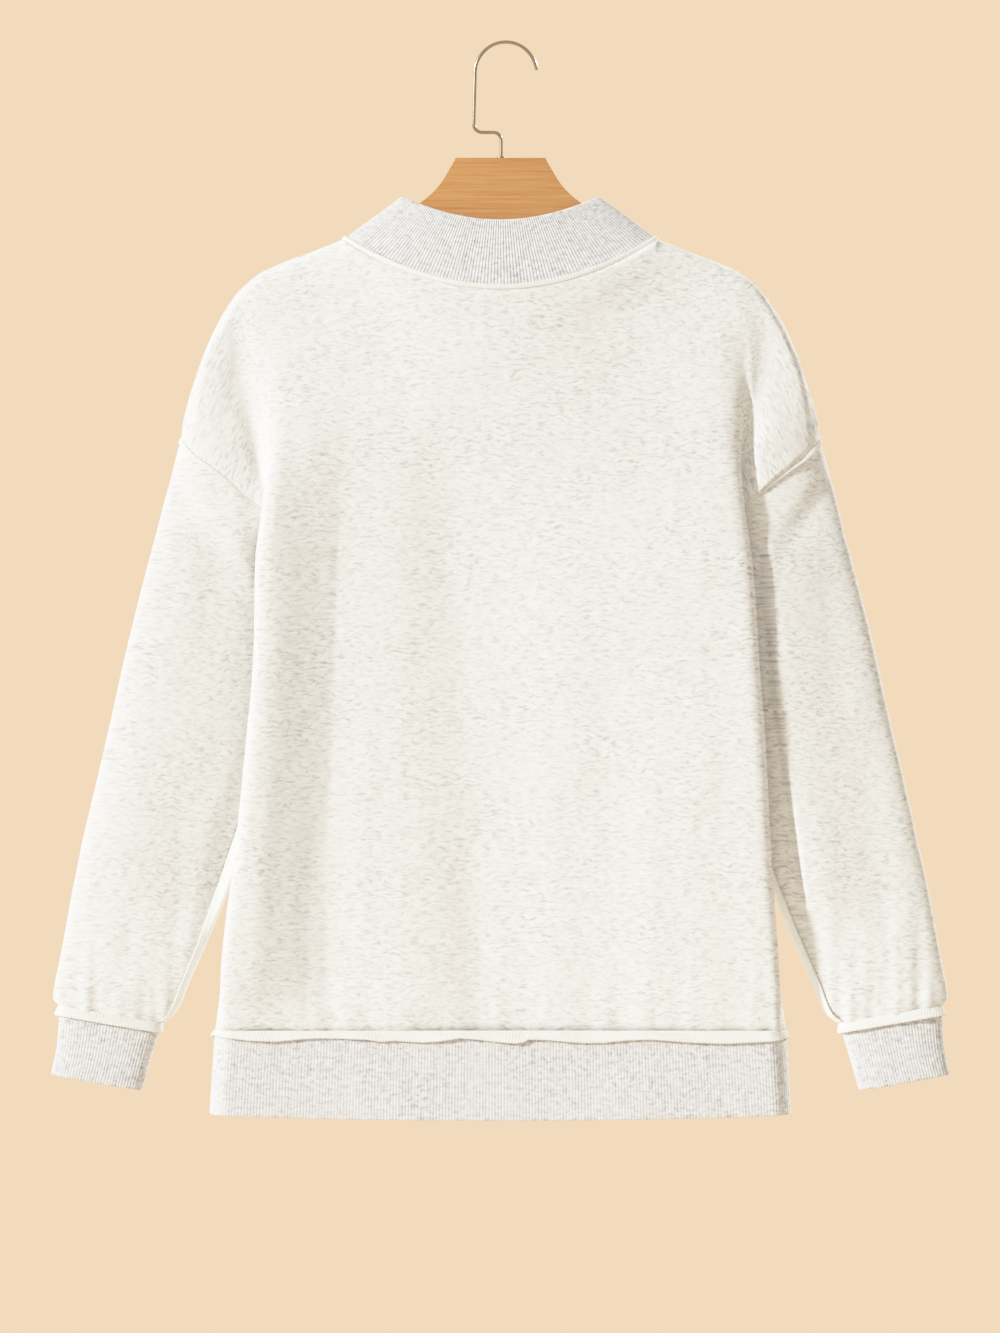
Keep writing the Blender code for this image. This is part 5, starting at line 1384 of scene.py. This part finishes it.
def wood_material():
    n = Nodes("satin beech", roughness=0.42)
    n.shader.inputs["Coat Weight"].default_value = 0.18
    n.shader.inputs["Coat Roughness"].default_value = 0.28
    grain = n.noise(n.place(*WOOD_GRAIN), detail=3, roughness=0.62, distortion=0.5)
    ground = n.ramp(grain, (0.3, srgb(167, 114, 65)), (0.5, srgb(183, 134, 84)),
                    (0.72, srgb(194, 148, 100)))
    pores = n.noise(n.place(*WOOD_PORES), detail=1)
    ground = n.patches(ground, srgb(148, 92, 46), pores, (0.58, 0), (0.74, 0.5))
    wide = n.noise(n.place(*WOOD_PATCHES), detail=1)
    ground = n.patches(ground, srgb(174, 118, 65), wide, (0.35, 0), (0.7, 0.3))
    return n.finish(ground, n.bump(pores, strength=0.12, distance=0.0002))


def steel_material():
    n = Nodes("polished nickel", roughness=0.24, metallic=1.0)
    worn = n.noise(n.place(*STEEL_WEAR), detail=2, roughness=0.6)
    return n.finish(n.ramp(worn, (0.3, srgb(160, 148, 130)), (0.7, srgb(182, 171, 154))))


def make_materials():
    return {
        "jersey": knit_material(JERSEY),
        "rib": knit_material(RIB),
        "seam": seam_material(),
        "thread": thread_material(),
        "wood": wood_material(),
        "steel": steel_material(),
    }


# --- studio -----------------------------------------------------------------------------------
CAMERA_DISTANCE = 3.5
VIEW_HEIGHT = 1.1197           # metres of the garment's plane in the picture's height
SENSOR = 36.0
VIEW_CENTRE = (-0.0004, -0.523)
FLOOR_Z = -1.30
FLOOR_RADIUS = 1.25
FLOOR_POINTS = 96
SURROUND = (1.248, 0.769, 0.503, 1.0)
BACKDROP_FROM, BACKDROP_TO = 0.93, 0.972   # how far towards +Y a direction points at its edges
ROOM = (0.735, 0.675, 0.59)    # what is all round, lighter at left and above
ROOM_SLANT = (-0.12, 0.0, 0.15)
# The lamps: where their light comes from, how strong, and how wide in degrees
Lamp = namedtuple("Lamp", "name toward strength softness")
LAMPS = [Lamp("key", (-2.6, -1.25, 0.95), 5.6, 6.0), Lamp("far", (2.2, 1.9, 1.2), 4.2, 7.0)]
LAMP_COLOUR = (0.975, 0.965, 0.9)
TONE_KNEE = 0.5                # levels above this are drawn together
TONE_WHITE = 2.5               # the level at the end of the tone curve
TONE_LEVELS = (0.15, 0.3, 0.45, 0.55, 0.65, 0.8, 1.0, 1.2, 1.5, 1.9)


def build_camera():
    data = bpy.data.cameras.new("camera")
    data.sensor_fit = "VERTICAL"
    data.sensor_height = SENSOR
    data.lens = SENSOR * CAMERA_DISTANCE / VIEW_HEIGHT
    camera = add_object("camera", data)
    camera.location = (VIEW_CENTRE[0], -CAMERA_DISTANCE, VIEW_CENTRE[1])
    camera.rotation_euler = (math.pi / 2, 0.0, 0.0)
    bpy.context.scene.camera = camera


def build_floor():
    angles = np.linspace(0, 2 * np.pi, FLOOR_POINTS, endpoint=False)
    points = [(FLOOR_RADIUS * math.cos(a) / MM, -FLOOR_Z / MM, FLOOR_RADIUS * math.sin(a) / MM)
              for a in angles]
    floor = new_piece("floor", points, [list(range(FLOOR_POINTS))])
    n = Nodes("pale floor", roughness=0.85)
    cloudy = n.noise(n.place(*FLOOR_CLOUDS), detail=3, roughness=0.55)
    colour = n.ramp(cloudy, (0.3, srgb(214, 201, 181)), (0.7, srgb(220, 208, 189)))
    floor.data.materials.append(n.finish(colour))


def soft_white(level):
    """What a scene-linear level becomes: itself while dark, then ever closer to white."""
    if level < TONE_KNEE:
        return level
    room = 1 - TONE_KNEE
    return TONE_KNEE + room * (1 - math.exp(-(level - TONE_KNEE) / room))


def build_light():
    """A pale room with a warm backdrop, one soft lamp, and another for the side turned away.

    The lamps are far, so that their light is even over the whole garment.
    """
    for lamp in LAMPS:
        data = bpy.data.lights.new(lamp.name, "SUN")
        data.energy = lamp.strength
        data.angle = math.radians(lamp.softness)
        data.color = LAMP_COLOUR
        sun = add_object(lamp.name, data)
        sun.location = lamp.toward
        sun.rotation_euler = (-Vector(lamp.toward)).to_track_quat("-Z", "Y").to_euler()
    world = bpy.data.worlds.new("studio")
    bpy.context.scene.world = world
    n = Tree(world)
    here = n.add("ShaderNodeTexCoord").outputs["Generated"]
    parts = n.add("ShaderNodeSeparateXYZ")
    n.link(here, parts.inputs["Vector"])
    side = n.add("ShaderNodeVectorMath", operation="DOT_PRODUCT")
    n.link(here, side.inputs[0])
    side.inputs[1].default_value = ROOM_SLANT
    level = n.add("ShaderNodeMath")
    level.inputs[1].default_value = 1.0
    n.link(side.outputs["Value"], level.inputs[0])
    room = n.add("ShaderNodeVectorMath", operation="SCALE")
    room.inputs[0].default_value = ROOM
    n.link(level.outputs["Value"], room.inputs["Scale"])
    behind = n.add("ShaderNodeMapRange", interpolation_type="SMOOTHSTEP")
    behind.inputs["From Min"].default_value = BACKDROP_FROM
    behind.inputs["From Max"].default_value = BACKDROP_TO
    n.link(parts.outputs["Y"], behind.inputs["Value"])
    colour = n.mix(behind.outputs["Result"], room.outputs["Vector"], SURROUND)
    n.link(colour, n.tree.nodes["Background"].inputs["Color"])


def set_tone():
    """Let bright tones run softly into white, as in a photograph."""
    view = bpy.context.scene.view_settings
    view.view_transform = "Standard"
    view.use_curve_mapping = True
    view.curve_mapping.white_level = (TONE_WHITE,) * 3
    curve = view.curve_mapping.curves[3]
    curve.points[0].location = (0.0, 0.0)
    curve.points[1].location = (1.0, soft_white(TONE_WHITE))
    for level in TONE_LEVELS:
        curve.points.new(level / TONE_WHITE, soft_white(level))
    view.curve_mapping.update()


# --- the cloth's cut --------------------------------------------------------------------------
Cut = namedtuple("Cut", "width length area rests_on seams")


def declare_cloth(pieces, lips):
    """Lists the flat size that each piece was cut to, and what it hangs from or is sewn to; the lists are
    gathered here but not passed on or recorded.
    """
    cuts = {
        "back_cloth": Cut(0.62, 0.68, 0.317, ["hanger_arms"], []),
        "front_cloth": Cut(0.60, 0.68, 0.266, ["hanger_arms"],
                           ["left_side", "right_side", "left_shoulder", "right_shoulder"]),
        "left_sleeve_cloth": Cut(0.42, 0.50, 0.121, ["back_cloth"], ["left_armhole", "left_underarm"]),
        "right_sleeve_cloth": Cut(0.42, 0.50, 0.121, ["back_cloth"], ["right_armhole", "right_underarm"]),
        "collar_rib": Cut(0.56, 0.058, 0.025, ["back_cloth"], ["neck"]),
        "hem_rib": Cut(0.96, 0.072, 0.067, ["back_cloth"], ["hem"]),
        "left_cuff_rib": Cut(0.20, 0.058, 0.0098, ["left_sleeve_cloth"], ["left_cuff"]),
        "right_cuff_rib": Cut(0.20, 0.058, 0.0098, ["right_sleeve_cloth"], ["right_cuff"]),
    }
    for name, cut in cuts.items():
        sewn = [piece for seam in cut.seams for piece in lips[seam]]
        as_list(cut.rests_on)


def main():
    materials = make_materials()
    pieces, front, front_out, back_seam, front_seam = build_panels(materials)
    sleeve_pieces, sleeves = build_sleeves(materials, back_seam, front_seam)
    band_pieces, surfaces = build_bands(materials)
    pieces.update(sleeve_pieces)
    pieces.update(band_pieces)
    lips = build_lips(materials, surfaces, sleeves, front, front_out)
    build_hanger(materials)
    build_hook(materials)
    declare_cloth(pieces, lips)
    build_floor()
    build_light()
    set_tone()
    build_camera()


main()
